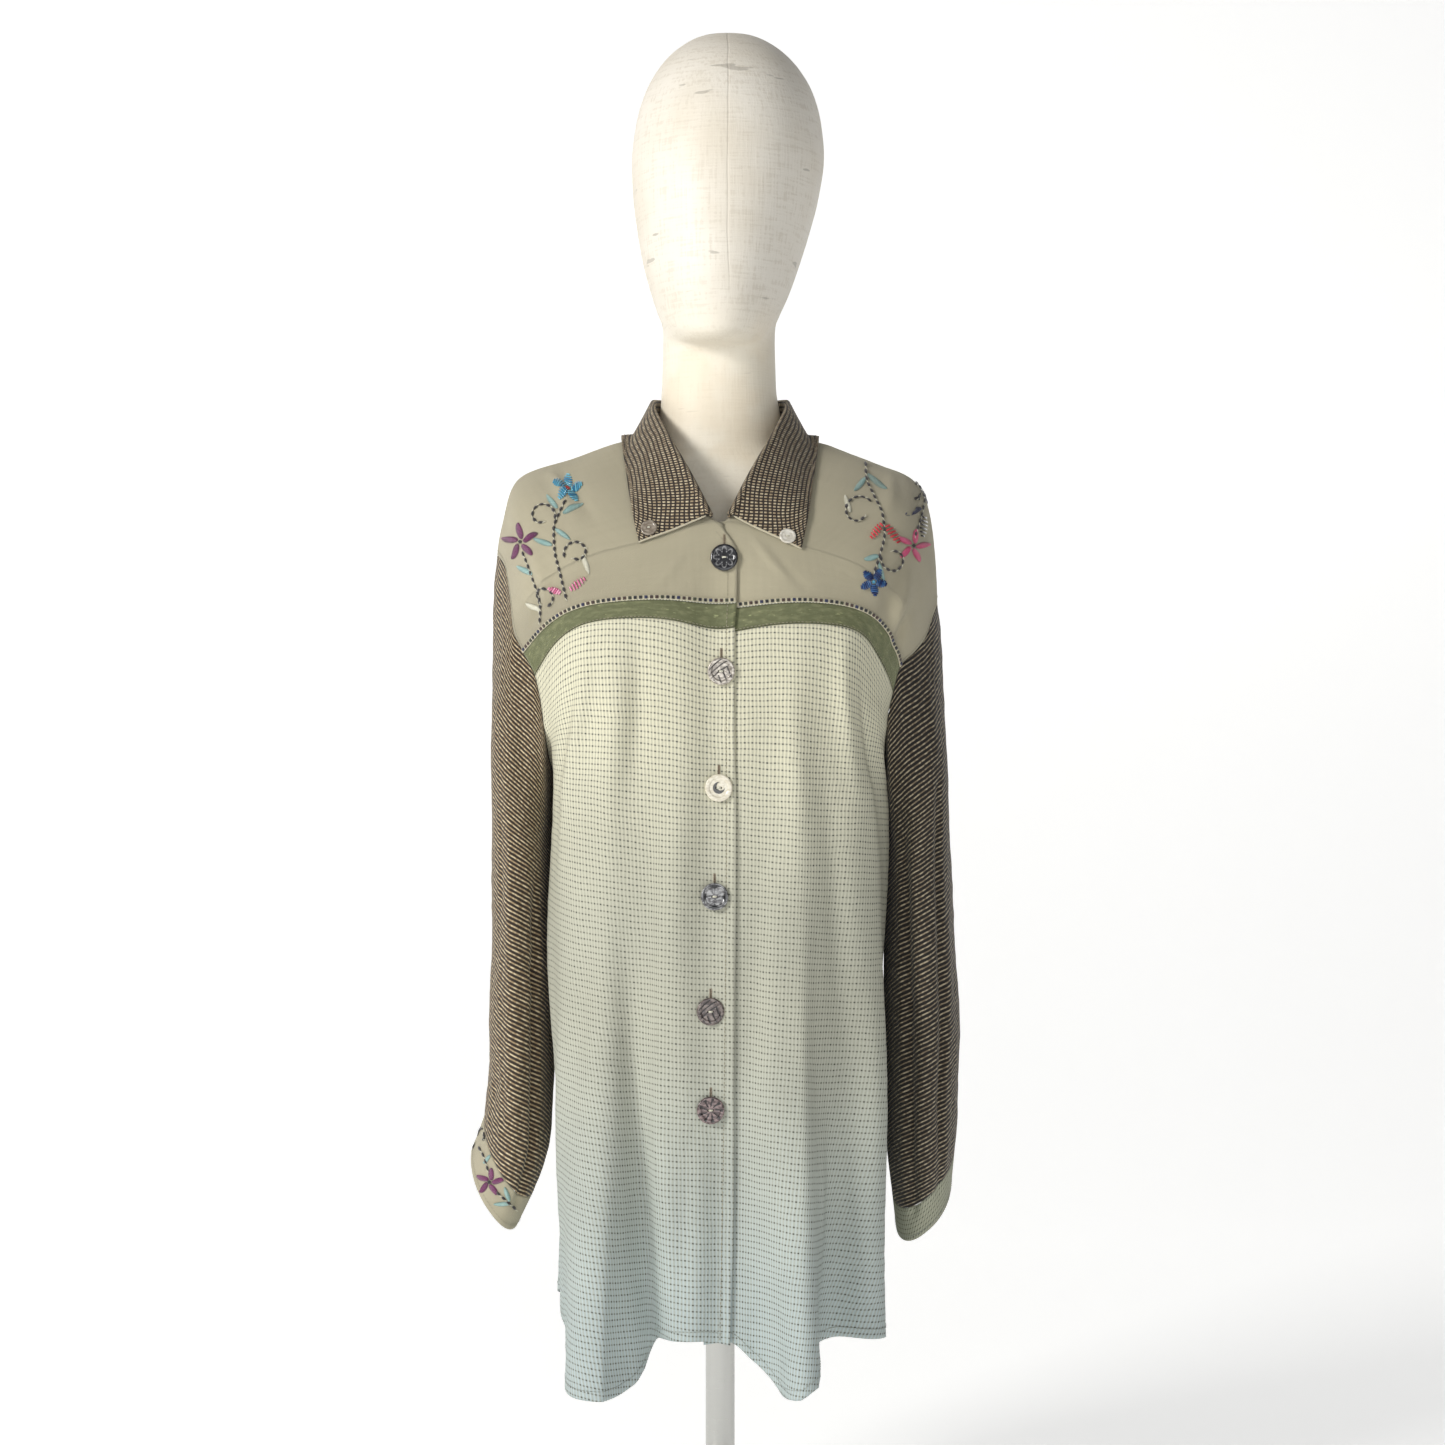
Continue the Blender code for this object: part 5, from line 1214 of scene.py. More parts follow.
def closed_loft(name, grid, finish, replaces=(), shade=None):
    """A solid through rings of points, its two ends closed by fans."""
    rows, columns = grid.shape[:2]
    points, caps = fan_ends(grid.reshape(-1, 3), rows, columns)
    faces = grid_quads(rows, columns, columns)
    flat = points[:, [0, 2]]
    return add_piece(name, points, [(faces, flat[faces]), (caps, flat[caps])], finish, replaces, shade)


def linen(name):
    """Cream cloth over the form: a fine weave, a few flecks, a neck painted lighter and warmer as painted light,
    stains on the neck, and a faint seam at its middle.
    """
    made = Shader(name, 0.6, Coat_Weight=0.12, Coat_Roughness=0.35)
    place, x, y, z = made.place()
    warp = made.noise(place, 420.0, 3.0, (1, 1, 0.08))
    weft = made.noise(place, 420.0, 3.0, (0.08, 0.08, 1))
    threads = made.math("MULTIPLY", made.math("ADD", warp, weft), 0.5)
    blotch = made.noise(place, 9.0, 5.0)
    colour = made.mix(made.step(blotch, 0.35, 0.7), rgb(242, 236, 224), rgb(228, 219, 202))
    colour = made.mix(made.both(made.step(threads, 0.5, 0.62), 0.4), colour, rgb(212, 202, 184))
    flecks = made.step(made.noise(place, 120.0, 2.0, (0.2, 0.2, 1)), 0.70, 0.74)
    colour = made.mix(made.both(flecks, 0.4), colour, rgb(128, 120, 106))
    below = made.step(z, 1.075, 1.02)
    stain = made.step(made.noise(place, 16.0, 3.0), 0.48, 0.66)
    # Painted light: the neck is painted a lighter, warmer cream, which stands in for light in the collar's V. The
    # stains mixed in on the next line are the cloth's own.
    colour = made.mix(made.both(below, 0.6), colour, rgb(250, 242, 222))
    colour = made.mix(made.both(made.both(below, stain), 0.22), colour, rgb(222, 194, 150))
    drift = made.math("MULTIPLY_ADD", made.noise(place, 20.0, 1.0), 0.006, 0.0035)
    seam = made.step(made.math("ABSOLUTE", made.math("SUBTRACT", x, drift)), 0.0010, 0.0003)
    seam = made.both(seam, made.step(z, 1.06, 1.10))
    colour = made.mix(made.both(seam, 0.14), colour, rgb(160, 150, 132))
    height = made.math("SUBTRACT", threads, made.both(seam, 0.4))
    return made.finish(colour, height, 0.0005)


def fitted(form):
    """The form's points between the chest and the neck, moved in until they are clear of the yokes over them."""
    ground, directions = yoke_samples()
    inside = (form[..., 2] > FITTED_FROM) & (form[..., 2] < FITTED_TO)
    form[inside] = lifted(form[inside], ground, -directions, CLOTH + FORM_CLEAR, COVERED)
    return form


form = fitted(form_points(112, 190))
closed_loft("covered_form", form, linen("linen_form"), ["dress_form"])

# %% [markdown]
# ## Threads and beads
#
# Everything sewn on is built from one shape: a short closed tube, oval across and narrowed at its ends. Long and
# thin it is a stitch, short and thick a bugle bead, and many side by side are satin stitch. A place is laid out
# in the picture plane, found on the cloth by Newton's method, and lifted off it by the thread's height.

# %% Threads
YOKE_SHOWS_WIDE, YOKE_SHOWS_TOP = 0.185, 0.95


def spindles(name, paths, ups, wide, high, finish, blunt=0.45, sides=6, point=0.3):
    """Closed tubes along paths, as many points each: rings across * cos + up * sin, smaller at both ends."""
    count, steps = paths.shape[:2]
    along = unit(np.gradient(paths, axis=1))
    across = unit(np.cross(along, ups))
    upright = np.cross(across, along)
    run = np.linspace(-1, 1, steps)
    size = (blunt + (1 - blunt) * np.sqrt(1 - run**2))[:, None, None]
    angle = np.arange(sides) * 2 * math.pi / sides
    c, s = np.cos(angle)[:, None], np.sin(angle)[:, None]
    rings = paths[:, :, None] + size * (wide / 2 * across[:, :, None] * c + high / 2 * upright[:, :, None] * s)
    tips = paths[:, [0, -1]] + point * wide * along[:, [0, -1]] * np.array([-1, 1])[:, None]
    points = np.concatenate([rings.reshape(count, -1, 3), tips], axis=1)
    each = steps * sides + 2
    first = (np.arange(count) * each)[:, None, None]
    quads = grid_quads(steps, sides, sides)
    ring = np.arange(sides)
    low = np.stack([np.roll(ring, -1), ring, np.full(sides, each - 2)], -1)
    last = (steps - 1) * sides
    top = np.stack([ring + last, np.roll(ring, -1) + last, np.full(sides, each - 1)], -1)
    faces = (quads + first).reshape(-1, 4)
    ends = (np.concatenate([low, top]) + first).reshape(-1, 3)
    length = np.linalg.norm(np.diff(paths, axis=1), axis=-1).sum(axis=1).mean()
    u = np.concatenate([np.repeat(run * length / 2, sides), [-length / 2, length / 2]])
    v = np.concatenate([np.tile(angle * wide / 2, steps), [0, 0]])
    uv = np.tile(np.stack([u, v], -1), (count, 1))
    shade = np.repeat(np.random.default_rng(len(name)).uniform(0, 1, count), each)
    return add_piece(name, points.reshape(-1, 3), [(faces, uv[faces]), (ends, uv[ends])], finish, shade=shade)


def landed(surface, start, targets, low, high, rounds=8):
    """Newton's method: the two numbers at which a surface shows at each target in the picture plane."""
    a, b = start
    step = 1e-4
    for _ in range(rounds):
        here = seen(surface(a, b))
        da = (seen(surface(a + step, b)) - here) / step
        db = (seen(surface(a, b + step)) - here) / step
        off = targets - here
        area = da[:, 0] * db[:, 1] - da[:, 1] * db[:, 0]
        a = np.clip(a + (off[:, 0] * db[:, 1] - off[:, 1] * db[:, 0]) / area, low[0], high[0])
        b = np.clip(b + (da[:, 0] * off[:, 1] - da[:, 1] * off[:, 0]) / area, low[1], high[1])
    return a, b


def on_yoke(side, plane):
    """Places and directions on a front yoke for places in the picture plane."""
    flat = plane.reshape(-1, 2)
    guess = np.abs(flat[:, 0]) / YOKE_SHOWS_WIDE, flat[:, 1] - YOKE_SHOWS_TOP
    start = np.clip(guess[0], 0.05, 0.97), np.clip(guess[1], -0.19, -0.01)
    a, b = landed(lambda a, b: plain_points(side, a, b), start, flat, (0.0, -0.194), (0.999, -0.001))
    return [part.reshape(*plane.shape[:-1], 3) for part in on_body(side, a, b)]


def on_cuff(side, plane):
    """The same on a cuff: it is seen from the front and its outer side."""
    flat = plane.reshape(-1, 2)
    def surface(a, b):
        return cuff_points(side, a, b)
    start = np.full(len(flat), 0.2), np.full(len(flat), 0.5)
    a, b = landed(surface, start, flat, (0.02, 0.02), (0.45, 0.98))
    return [part.reshape(*plane.shape[:-1], 3) for part in (surface(a, b), normals_of(surface, a, b) * side)]


def thread(name, colour, light, roughness=0.55, sheen=0.4):
    """Twisted yarn: a fine slanting wave along it, and each stitch a little lighter or darker than the next."""
    made = Shader(name, roughness, Sheen_Weight=sheen)
    uv, u, v = made.cloth_uv()
    twist = made.stripe(made.wave(made.math("ADD", u, v), 0.0007), 0.2, 0.25)
    colour = made.mix(made.both(made.shade(), 0.6), rgb(*colour), rgb(*light))
    colour = made.mix(made.both(twist, 0.35), colour, rgb(*light))
    return made.finish(colour, twist, 0.0002)


def glass(name, colour, light):
    """Glass beads: smooth and bright, each a little different."""
    made = Shader(name, 0.12, Coat_Weight=0.6, Coat_Roughness=0.05)
    return made.finish(made.mix(made.shade(), rgb(*colour), rgb(*light)))


YARNS = {
    "black": thread("black_yarn", (24, 20, 22), (62, 54, 54)),
    "cream": thread("cream_yarn", (226, 222, 196), (248, 246, 230)),
    "teal": thread("teal_yarn", (140, 188, 184), (196, 222, 214)),
    "purple": thread("purple_yarn", (98, 14, 78), (146, 36, 116)),
    "pink": thread("pink_yarn", (222, 44, 110), (246, 112, 158)),
    "navy": thread("navy_yarn", (28, 34, 76), (64, 72, 122)),
    "tan": thread("tan_yarn", (150, 128, 98), (188, 168, 138)),
    "khaki": thread("khaki_yarn", (158, 150, 122), (186, 178, 150)),
    "grey": thread("grey_yarn", (142, 150, 140), (186, 190, 178)),
    "brown": thread("brown_yarn", (62, 50, 42), (104, 88, 74)),
}
GLASS = {
    "blue": glass("blue_glass", (36, 122, 168), (128, 204, 224)),
    "dark_blue": glass("dark_blue_glass", (20, 32, 84), (50, 96, 150)),
    "red": glass("red_glass", (172, 22, 40), (222, 74, 82)),
    "rose": glass("rose_glass", (206, 96, 140), (240, 168, 196)),
    "dark": glass("dark_glass", (22, 18, 22), (72, 62, 66)),
}

# %% [markdown]
# ## The embroidery
#
# Sprays of small flowers: a running stitch in black, whipped with cream, for the stems and their curls; leaves
# in satin stitch; petals in satin stitch or in short bugle beads laid crosswise. Each motif is placed by where it
# shows in the photo, and its own shape is worked out by a formula.

# %% Flowers, leaves and stems
# Stems: points along each, in the photo's pixels. A curl is a spiral round a middle: start and sweep in degrees,
# anticlockwise, with its first and last radius.
Curl = namedtuple("Curl", "x y first last start sweep")
STEMS = {
    LEFT: [
        [(567, 500), (559, 514), (554, 530), (555, 550), (560, 572), (567, 600)],
        [(523, 552), (530, 568), (536, 588), (541, 606), (540, 622)],
        Curl(542, 516, 14, 6, -25, 330), Curl(577, 553, 13, 6, 205, -330), Curl(544, 597, 10, 7, -70, 320),
    ],
    RIGHT: [
        [(865, 460), (866, 477), (874, 496), (882, 515), (884, 533), (879, 556), (873, 574)],
        [(925, 497), (921, 516), (914, 538)],
        Curl(858, 511, 16, 8, 30, 300), Curl(893, 560, 13, 8, 160, 300), Curl(915, 494, 11, 5, 0, 300),
    ],
}
# Leaves: colour, then base and tip in pixels, then half the width in millimetres.
Leaf = namedtuple("Leaf", "colour base tip half")
LEAVES = named(Leaf, {
    LEFT: [
        ("teal", (557, 509), (547, 495), 2.4), ("teal", (563, 513), (583, 502), 2.6),
        ("teal", (556, 529), (570, 540), 2.3), ("teal", (552, 546), (535, 539), 2.6),
        ("teal", (533, 575), (517, 566), 2.6), ("cream", (583, 555), (589, 574), 2.4),
        ("cream", (540, 613), (526, 603), 2.4),
    ],
    RIGHT: [
        ("teal", (866, 478), (854, 490), 2.4), ("teal", (868, 474), (886, 491), 2.6),
        ("teal", (878, 557), (864, 559), 2.6), ("teal", (878, 562), (884, 584), 1.9),
        ("cream", (850, 512), (845, 495), 2.2), ("navy", (921, 509), (905, 514), 2.9),
    ],
})
# Leaves filled with beads laid crosswise.
BEADED = named(Leaf, {
    LEFT: [("rose", (570, 590), (586, 578), 3.1), ("rose", (561, 593), (549, 588), 2.6)],
    RIGHT: [("red", (882, 524), (870, 539), 3.1), ("red", (886, 525), (899, 544), 3.4),
            ("dark", (924, 516), (922, 538), 2.9)],
})
# Flowers: middle and petal length in pixels, number of petals, the first one's turn in degrees.
Flower = namedtuple("Flower", "colour middle x y long petals turn half")
FLOWERS = {
    LEFT: [Flower("purple", "black", 521, 542, 19, 5, 96, 3.1)],
    RIGHT: [Flower("pink", "black", 913, 546, 17, 5, 76, 2.7)],
}
BEAD_FLOWERS = {
    LEFT: [Flower("blue", "red", 568, 488, 15, 5, 90, 3.3)],
    RIGHT: [Flower("dark_blue", "blue", 873, 582, 14, 5, 60, 3.2)],
}
CUFF_STEMS = [[(478, 1145), (485, 1158), (489, 1172)], [(495, 1190), (506, 1200), (517, 1211)],
              Curl(480, 1134, 7, 5, -90, 300)]
CUFF_LEAVES = [Leaf("teal", (509, 1201), (505, 1187), 1.9), Leaf("teal", (510, 1204), (494, 1204), 1.9),
               Leaf("teal", (484, 1163), (491, 1155), 1.6)]
CUFF_FLOWERS = [Flower("purple", "black", 490, 1182, 14, 5, 80, 2.6)]
STITCH, STITCH_GAP = 0.0038, 0.0021
# Sizes of what is sewn: wide, high, how low it lies, and how much its middle rises. In metres.
STEM_THREAD, WHIP_THREAD = (0.0027, 0.0015, 0.0007, 0.0003), (0.0007, 0.0006, 0.0005, 0.0008)
SATIN_THREAD, BUGLE_BEAD = (0.0010, 0.0008, 0.0003, 0.0006), (0.0017, 0.0016, 0.0008, 0.0001)
KNOT = (0.0013, 0.0012, 0.0009, 0.0002)
KNOT_RING, KNOT_HALF, WHIP_HALF = 0.0010, 0.0005, 0.0007
PETAL_STARTS = 0.18


def stem_line(stem):
    """A stem's line in the picture plane: a smooth curve through its points, or a spiral."""
    if isinstance(stem, Curl):
        share = np.linspace(0, 1, 60)
        angle = np.radians(stem.start + stem.sweep * share)
        radius = stem.first + (stem.last - stem.first) * share
        pixels = np.stack([stem.x + radius * np.cos(angle), stem.y - radius * np.sin(angle)], -1)
    else:
        points = np.array(stem, float)
        knots = np.concatenate([[0], np.cumsum(np.linalg.norm(np.diff(points, axis=0), axis=1))])
        pixels = smooth(knots, points, np.linspace(0, knots[-1], 80))
    return in_picture(pixels)


def spaced(line, pitch, length, steps=4):
    """Pieces of a line: each as long as a stitch, one every pitch, with a few points on each."""
    run = measured(line[None, :, :3])[0]
    count = max(int((run[-1] - length) / pitch) + 1, 1)
    start = (run[-1] - (count - 1) * pitch - length) / 2 + np.arange(count) * pitch
    at = start[:, None] + np.linspace(0, length, steps)
    return np.stack([np.interp(at, run, line[:, k]) for k in range(line.shape[1])], -1)


def crossed(leaves, count, slant, steps=4):
    """Threads across leaves: each goes from edge to edge, the leaf's half width times the sine of its share."""
    base, tip = in_picture([leaf.base for leaf in leaves]), in_picture([leaf.tip for leaf in leaves])
    half = MM * np.array([leaf.half for leaf in leaves])
    axis = tip - base
    forward = unit(axis)
    beside = np.stack([-forward[:, 1], forward[:, 0]], -1)
    share = (np.arange(count) + 0.5) / count
    width = half[:, None] * np.sin(math.pi * share**0.85) ** 0.55
    middle = base[:, None] + axis[:, None] * share[:, None]
    run = np.linspace(-1, 1, steps)[:, None]
    way = (beside + slant * forward)[:, None, None]
    return (middle[:, :, None] + run * width[..., None, None] * way).reshape(-1, steps, 2)


def petals(flowers):
    """The leaves that make up flowers: petals at even turns, from near the middle outwards."""
    made = []
    for flower in flowers:
        for k in range(flower.petals):
            angle = math.radians(flower.turn + 360 * k / flower.petals)
            way = np.array([math.cos(angle), -math.sin(angle)])
            middle = np.array([flower.x, flower.y])
            made.append(Leaf(flower.colour, tuple(middle + PETAL_STARTS * flower.long * way),
                             tuple(middle + flower.long * way), flower.half))
    return made


def arched(steps, low, rise):
    """Heights along a stitch: low at its ends, and higher by the rise in its middle."""
    run = np.linspace(-1, 1, steps)
    return low + rise * (1 - run**2)


def sew(name, finish, on, paths, wide, high, low=0.0003, rise=0.0002, blunt=0.45, sides=6):
    """Paths in the picture plane laid on cloth as threads."""
    places, ups = on(paths)
    lifted_by = arched(paths.shape[1], low, rise)[:, None]
    return spindles(name, places + lifted_by * ups, ups, wide, high, finish, blunt, sides)


def sew_stems(where, on, stems):
    """Black running stitches, with a cream thread wound over each gap."""
    dashes, whips = [], []
    for line in map(stem_line, stems):
        dashes.append(spaced(line, STITCH + STITCH_GAP, STITCH))
        gaps = spaced(line, STITCH + STITCH_GAP, STITCH_GAP * 1.6, 4)
        forward = unit(gaps[:, -1] - gaps[:, 0])
        turned_by = np.stack([-forward[:, 1], forward[:, 0]], -1)
        run = np.linspace(-WHIP_HALF, WHIP_HALF, 4)[:, None]
        shifted = gaps + forward[:, None] * (STITCH + STITCH_GAP) / 2
        whips.append(shifted + run * turned_by[:, None])
    sew(f"stem_stitches_{where}", YARNS["black"], on, np.concatenate(dashes), *STEM_THREAD)
    sew(f"stem_whipping_{where}", YARNS["cream"], on, np.concatenate(whips), *WHIP_THREAD)


def sew_leaves(where, on, leaves, kind):
    """Leaves of each colour: satin stitch in yarn, or bugle beads in glass."""
    for colour in sorted({leaf.colour for leaf in leaves}):
        mine = [leaf for leaf in leaves if leaf.colour == colour]
        if kind == "satin":
            sew(f"{colour}_satin_{where}", YARNS[colour], on, crossed(mine, 17, 0.75), *SATIN_THREAD)
        else:
            sew(f"{colour}_beads_{where}", GLASS[colour], on, crossed(mine, 6, 0.2), *BUGLE_BEAD, blunt=0.85)


def sew_middles(where, on, flowers, colour, finish):
    """A few knots or beads at each flower's middle."""
    angle = np.radians(np.arange(5) * 72 + 20)
    ring = KNOT_RING * np.stack([np.cos(angle), np.sin(angle)], -1)
    spots = np.concatenate([np.zeros((1, 2)), ring])
    middles = in_picture([(flower.x, flower.y) for flower in flowers])
    run = np.linspace(-KNOT_HALF, KNOT_HALF, 4)[:, None] * np.array([1.0, 0.4])
    paths = (middles[:, None] + spots)[:, :, None] + run
    sew(f"{colour}_middles_{where}", finish, on, paths.reshape(-1, 4, 2), *KNOT)


for side, where in NAMES.items():
    def on(plane, side=side):
        return on_yoke(side, plane)
    sew_stems(where, on, STEMS[side])
    sew_leaves(where, on, LEAVES[side], "satin")
    sew_leaves(where, on, BEADED[side], "beads")
    sew_leaves(f"flower_{where}", on, petals(FLOWERS[side]), "satin")
    sew_leaves(f"flower_{where}", on, petals(BEAD_FLOWERS[side]), "beads")
    sew_middles(where, on, FLOWERS[side], "black", YARNS["black"])
    sew_middles(where, on, BEAD_FLOWERS[side], BEAD_FLOWERS[side][0].middle, GLASS[BEAD_FLOWERS[side][0].middle])


def on(plane):
    return on_cuff(LEFT, plane)


sew_stems("cuff", on, CUFF_STEMS)
sew_leaves("cuff", on, CUFF_LEAVES, "satin")
sew_leaves("cuff_flower", on, petals(CUFF_FLOWERS), "satin")
sew_middles("cuff", on, CUFF_FLOWERS, "black", YARNS["black"])

# %% [markdown]
# ## Trim, binding, stitches and buttonholes
#
# A cream tape woven with small dark squares covers the seam between yoke and ribbon. The collar's front edges are
# bound in cream. Edges are stitched down a few millimetres in, and each button has its worked slit above it.

# %% Trim and stitches
TAPE_WIDE, TAPE_RISE, SQUARE, SQUARE_PITCH = 0.0036, 0.0022, 0.0026, 0.0044
TOPSTITCH, TOPSTITCH_GAP, EDGE_INSET = 0.0021, 0.0011, 0.008
SQUARE_YARNS = {"black": (16, 15, 18), "navy": (26, 32, 66), "brown": (60, 42, 32), "moss": (52, 56, 34)}


def stitches(name, line, ups, finish, length=TOPSTITCH, gap=TOPSTITCH_GAP,
             wide=0.0007, high=0.0004, rise=0.00015):
    """Stitches along a line of points: the line and its directions are cut into even pieces."""
    both = spaced(np.concatenate([line, ups], axis=1), length + gap, length)
    paths, ups = both[..., :3], unit(both[..., 3:])
    lifted_by = arched(paths.shape[1], 0.0002, rise)[:, None]
    return spindles(name, paths + lifted_by * ups, ups, wide, high, finish, sides=6)


def ribbon(name, line, ups, wide, high, finish, steps=9):
    """A flat tape along a line: a low arc across it, closed below."""
    along = unit(np.gradient(line, axis=0))
    across = np.cross(along, ups)
    share = np.linspace(-1, 1, steps)
    arc = high * (1 - share**4)
    top = line[:, None] + (wide / 2 * share)[:, None] * across[:, None] + (0.0001 + arc)[:, None] * ups[:, None]
    under = top - (arc + 0.00008)[None, :, None] * ups[:, None]
    run = measured(line[None])[0]
    uv = np.stack(np.broadcast_arrays(run[:, None], wide / 2 * share[None]), -1)
    return wall(name, top, under, uv, finish)


def tape_cloth():
    """Cream tape with fine ribs across it."""
    made = Shader("cream_tape", 0.85, Sheen_Weight=0.2)
    uv, u, v = made.cloth_uv()
    ribs = made.stripe(made.wave(u, 0.0007), 0.25, 0.2)
    colour = made.mix(made.both(ribs, 0.4), rgb(214, 206, 176), rgb(238, 232, 208))
    return made.finish(colour, ribs, 0.0002)


tape = tape_cloth()
squares = {key: thread(f"{key}_square", dark, [1.4 * c for c in dark]) for key, dark in SQUARE_YARNS.items()}
binding = thread("cream_binding", (206, 196, 166), (232, 224, 198))


def sew_trim(side):
    """The tape over the yoke's lower seam, and its squares, four colours in turn."""
    word = NAMES[side]
    start = float(lap_start(side, np.array([YOKE_SEAM]))[0]) + 0.004
    line, ups = on_body(side, np.linspace(start, SIDE_END - 0.002, 240), YOKE_SEAM + TAPE_RISE)
    line = line + 0.0005 * ups
    ribbon(f"trim_tape_{word}", line, ups, TAPE_WIDE, 0.0005, tape)
    both = spaced(np.concatenate([line, ups], axis=1), SQUARE_PITCH, SQUARE)
    for k, (key, finish) in enumerate(squares.items()):
        mine = both[[i for i in range(len(both)) if (i * 7 + i // 3) % 4 == k]]
        paths, out = mine[..., :3], unit(mine[..., 3:])
        spindles(f"trim_{key}_{word}", paths + 0.0010 * out, out, 0.0028, 0.0010, finish, 0.95, 8, 0.02)
    edge, ups = on_body(side, np.linspace(start, SIDE_END - 0.002, 240), YOKE_SEAM - 0.0002)
    stitches(f"trim_scallops_{word}", edge, ups, YARNS["cream"], 0.0020, 0.0006, 0.0009, 0.0006, 0.0003)


def sew_edges(side):
    """Rows of stitches a little inside the edges and seams, each along a line of places and levels."""
    edge = np.linspace(-0.135, float(hem_level(side, "front", np.zeros(1))[0]) + 0.003, 500)
    across = np.linspace(0.03, SIDE_END - 0.02, 400)
    front_hem = half_grid(side, across, hem_level(side, "front", across) + EDGE_INSET, True)
    back_hem = half_grid(side, across, hem_level(side, "back", across) - EDGE_INSET, False)
    start = float(lap_start(side, np.array([BAND_SEAM]))[0]) + 0.004
    beside = SIDE_END - 0.014
    rows = {
        "edge_stitches": ("khaki", lap_start(side, edge) + EDGE_INSET / CENTRE_SCALE, edge),
        "hem_stitches_front": ("grey", *front_hem),
        "hem_stitches_back": ("grey", *back_hem),
        "ribbon_stitches": ("khaki", np.linspace(start, SIDE_END - 0.004, 300), BAND_SEAM + 0.0016),
        "armhole_stitches_front": ("khaki", beside, np.linspace(YOKE_SEAM + 0.003, -0.004, 300)),
        "armhole_stitches_back": ("khaki", beside, np.linspace(0.004, BACK_YOKE_SEAM - 0.003, 300)),
        "shoulder_stitches": ("khaki", np.linspace(0.02, SIDE_END - 0.01, 200), 0.0035),
        "back_yoke_stitches": ("khaki", np.linspace(0.004, SIDE_END - 0.004, 260), BACK_YOKE_SEAM - 0.003),
    }
    for name, (yarn, places, levels) in rows.items():
        wide = 0.0005 if name == "ribbon_stitches" else 0.0007
        stitches(f"{name}_{NAMES[side]}", *on_body(side, places, levels), YARNS[yarn], wide=wide)


def sew_cuff_edge(side, yarn):
    """One row round the cuff, near its lower edge."""
    turn = np.linspace(0, 1, 200)
    def surface(a, b):
        return cuff_points(side, a, b)
    down = np.full(200, 0.86)
    line, ups = surface(turn, down), normals_of(surface, turn, down) * side
    stitches(f"cuff_stitches_{NAMES[side]}", line, ups, YARNS[yarn])


for side, yarn in ((LEFT, "khaki"), (RIGHT, "grey")):
    sew_trim(side)
    sew_edges(side)
    sew_cuff_edge(side, yarn)


COLLAR_STITCH_INSET, COLLAR_FALL = 0.005, 0.055


def bind_collar():
    """The binding covers the two front edges; stitches run 5 mm inside the outer edge."""
    fall = STAND_ROWS + ROLL_ROWS - 1
    columns = collar_outer.shape[1]
    ends = np.array([0, columns - 1])
    line = collar_outer[fall:, ends].swapaxes(0, 1)
    ups = collar_normals[fall:, ends].swapaxes(0, 1)
    spindles("collar_binding", line - 0.5 * COLLAR_CLOTH * ups, ups, 0.0016, 0.0022, binding, blunt=0.8, sides=10)
    row = fall + (1 - COLLAR_STITCH_INSET / COLLAR_FALL) * (len(collar_outer) - 1 - fall)
    low = int(row)
    inner = slice(8, columns - 8)
    mixed = [(1 - row + low) * part[low] + (row - low) * part[low + 1] for part in (collar_outer, collar_normals)]
    stitches("collar_stitches", mixed[0][inner], unit(mixed[1][inner]), YARNS["tan"])


bind_collar()

# %% [markdown]
# ## Buttons and buttonholes
#
# Each button is turned: a rim, a shallow well and two holes, with its own carving as a height over the disc. It
# lies where the modelled button lies, and a few white stitches hold it. Above it shows the end of a worked slit.

# %% Buttons
BUTTON_RADIUS, SMALL_RADIUS = 0.0112, 0.0068
# The turned outline round the rim: shares of the radius, and shares of the thickness.
RIM = np.array([(0.95, 0.96), (0.985, 0.86), (1.0, 0.68), (1.0, 0.3), (0.985, 0.12), (0.95, 0.03)])
FACE_RINGS, BACK_RINGS, CORE, FACE = 26, 6, 0.03, 0.90
HOLE_OFF, HOLE = 0.16, 0.075


def star(x, y):
    """Eight petals: a ring whose radius swells eight times round."""
    radius, angle = np.hypot(x, y), np.arctan2(y, x)
    petal = 0.30 + 0.48 * np.abs(np.cos(4 * angle)) ** 0.7
    return np.exp(-((radius - petal) / 0.05) ** 2)


def waves(x, y):
    """Curved lines carved aslant over one half, and straight ones over the other."""
    curved = np.sin(16 * (y - 0.7 * x + 0.25 * x * x)) > 0.55
    straight = np.sin(14 * (x + 0.4 * y)) > 0.7
    return np.where(y > 0.9 * x - 0.1, curved, straight).astype(float)


def crescent(x, y):
    """A dark crescent in the middle: one disc with another moved off it."""
    return ((np.hypot(x, y) < 0.42) & (np.hypot(x - 0.14, y - 0.12) > 0.30)).astype(float)


def rays(x, y):
    """Straight lines from the middle outwards."""
    return (np.sin(9 * np.arctan2(y, x) + 2 * np.hypot(x, y)) > 0.55) * (np.hypot(x, y) > 0.25).astype(float)


def flower(x, y):
    """Four broad petals and a dark background."""
    radius, angle = np.hypot(x, y), np.arctan2(y, x)
    return (radius > 0.30 + 0.55 * np.abs(np.sin(2 * angle)) ** 0.5).astype(float)


def blank(x, y):
    """No carving."""
    return np.zeros_like(x)


def shell(name, base, mark, second, roughness=0.22, metallic=0.0):
    """Polished shell: two tones in cloudy bands, carved marks in a third, and a clear bright surface."""
    made = Shader(name, roughness, Coat_Weight=0.7, Coat_Roughness=0.12, Metallic=metallic)
    place, x, y, z = made.place()
    cloud = made.noise(place, 260.0, 3.0, (1, 1, 2.2))
    colour = made.mix(made.step(cloud, 0.4, 0.64), rgb(*base), rgb(*second))
    return made.finish(made.mix(made.shade(), colour, rgb(*mark)), cloud, 0.00006)


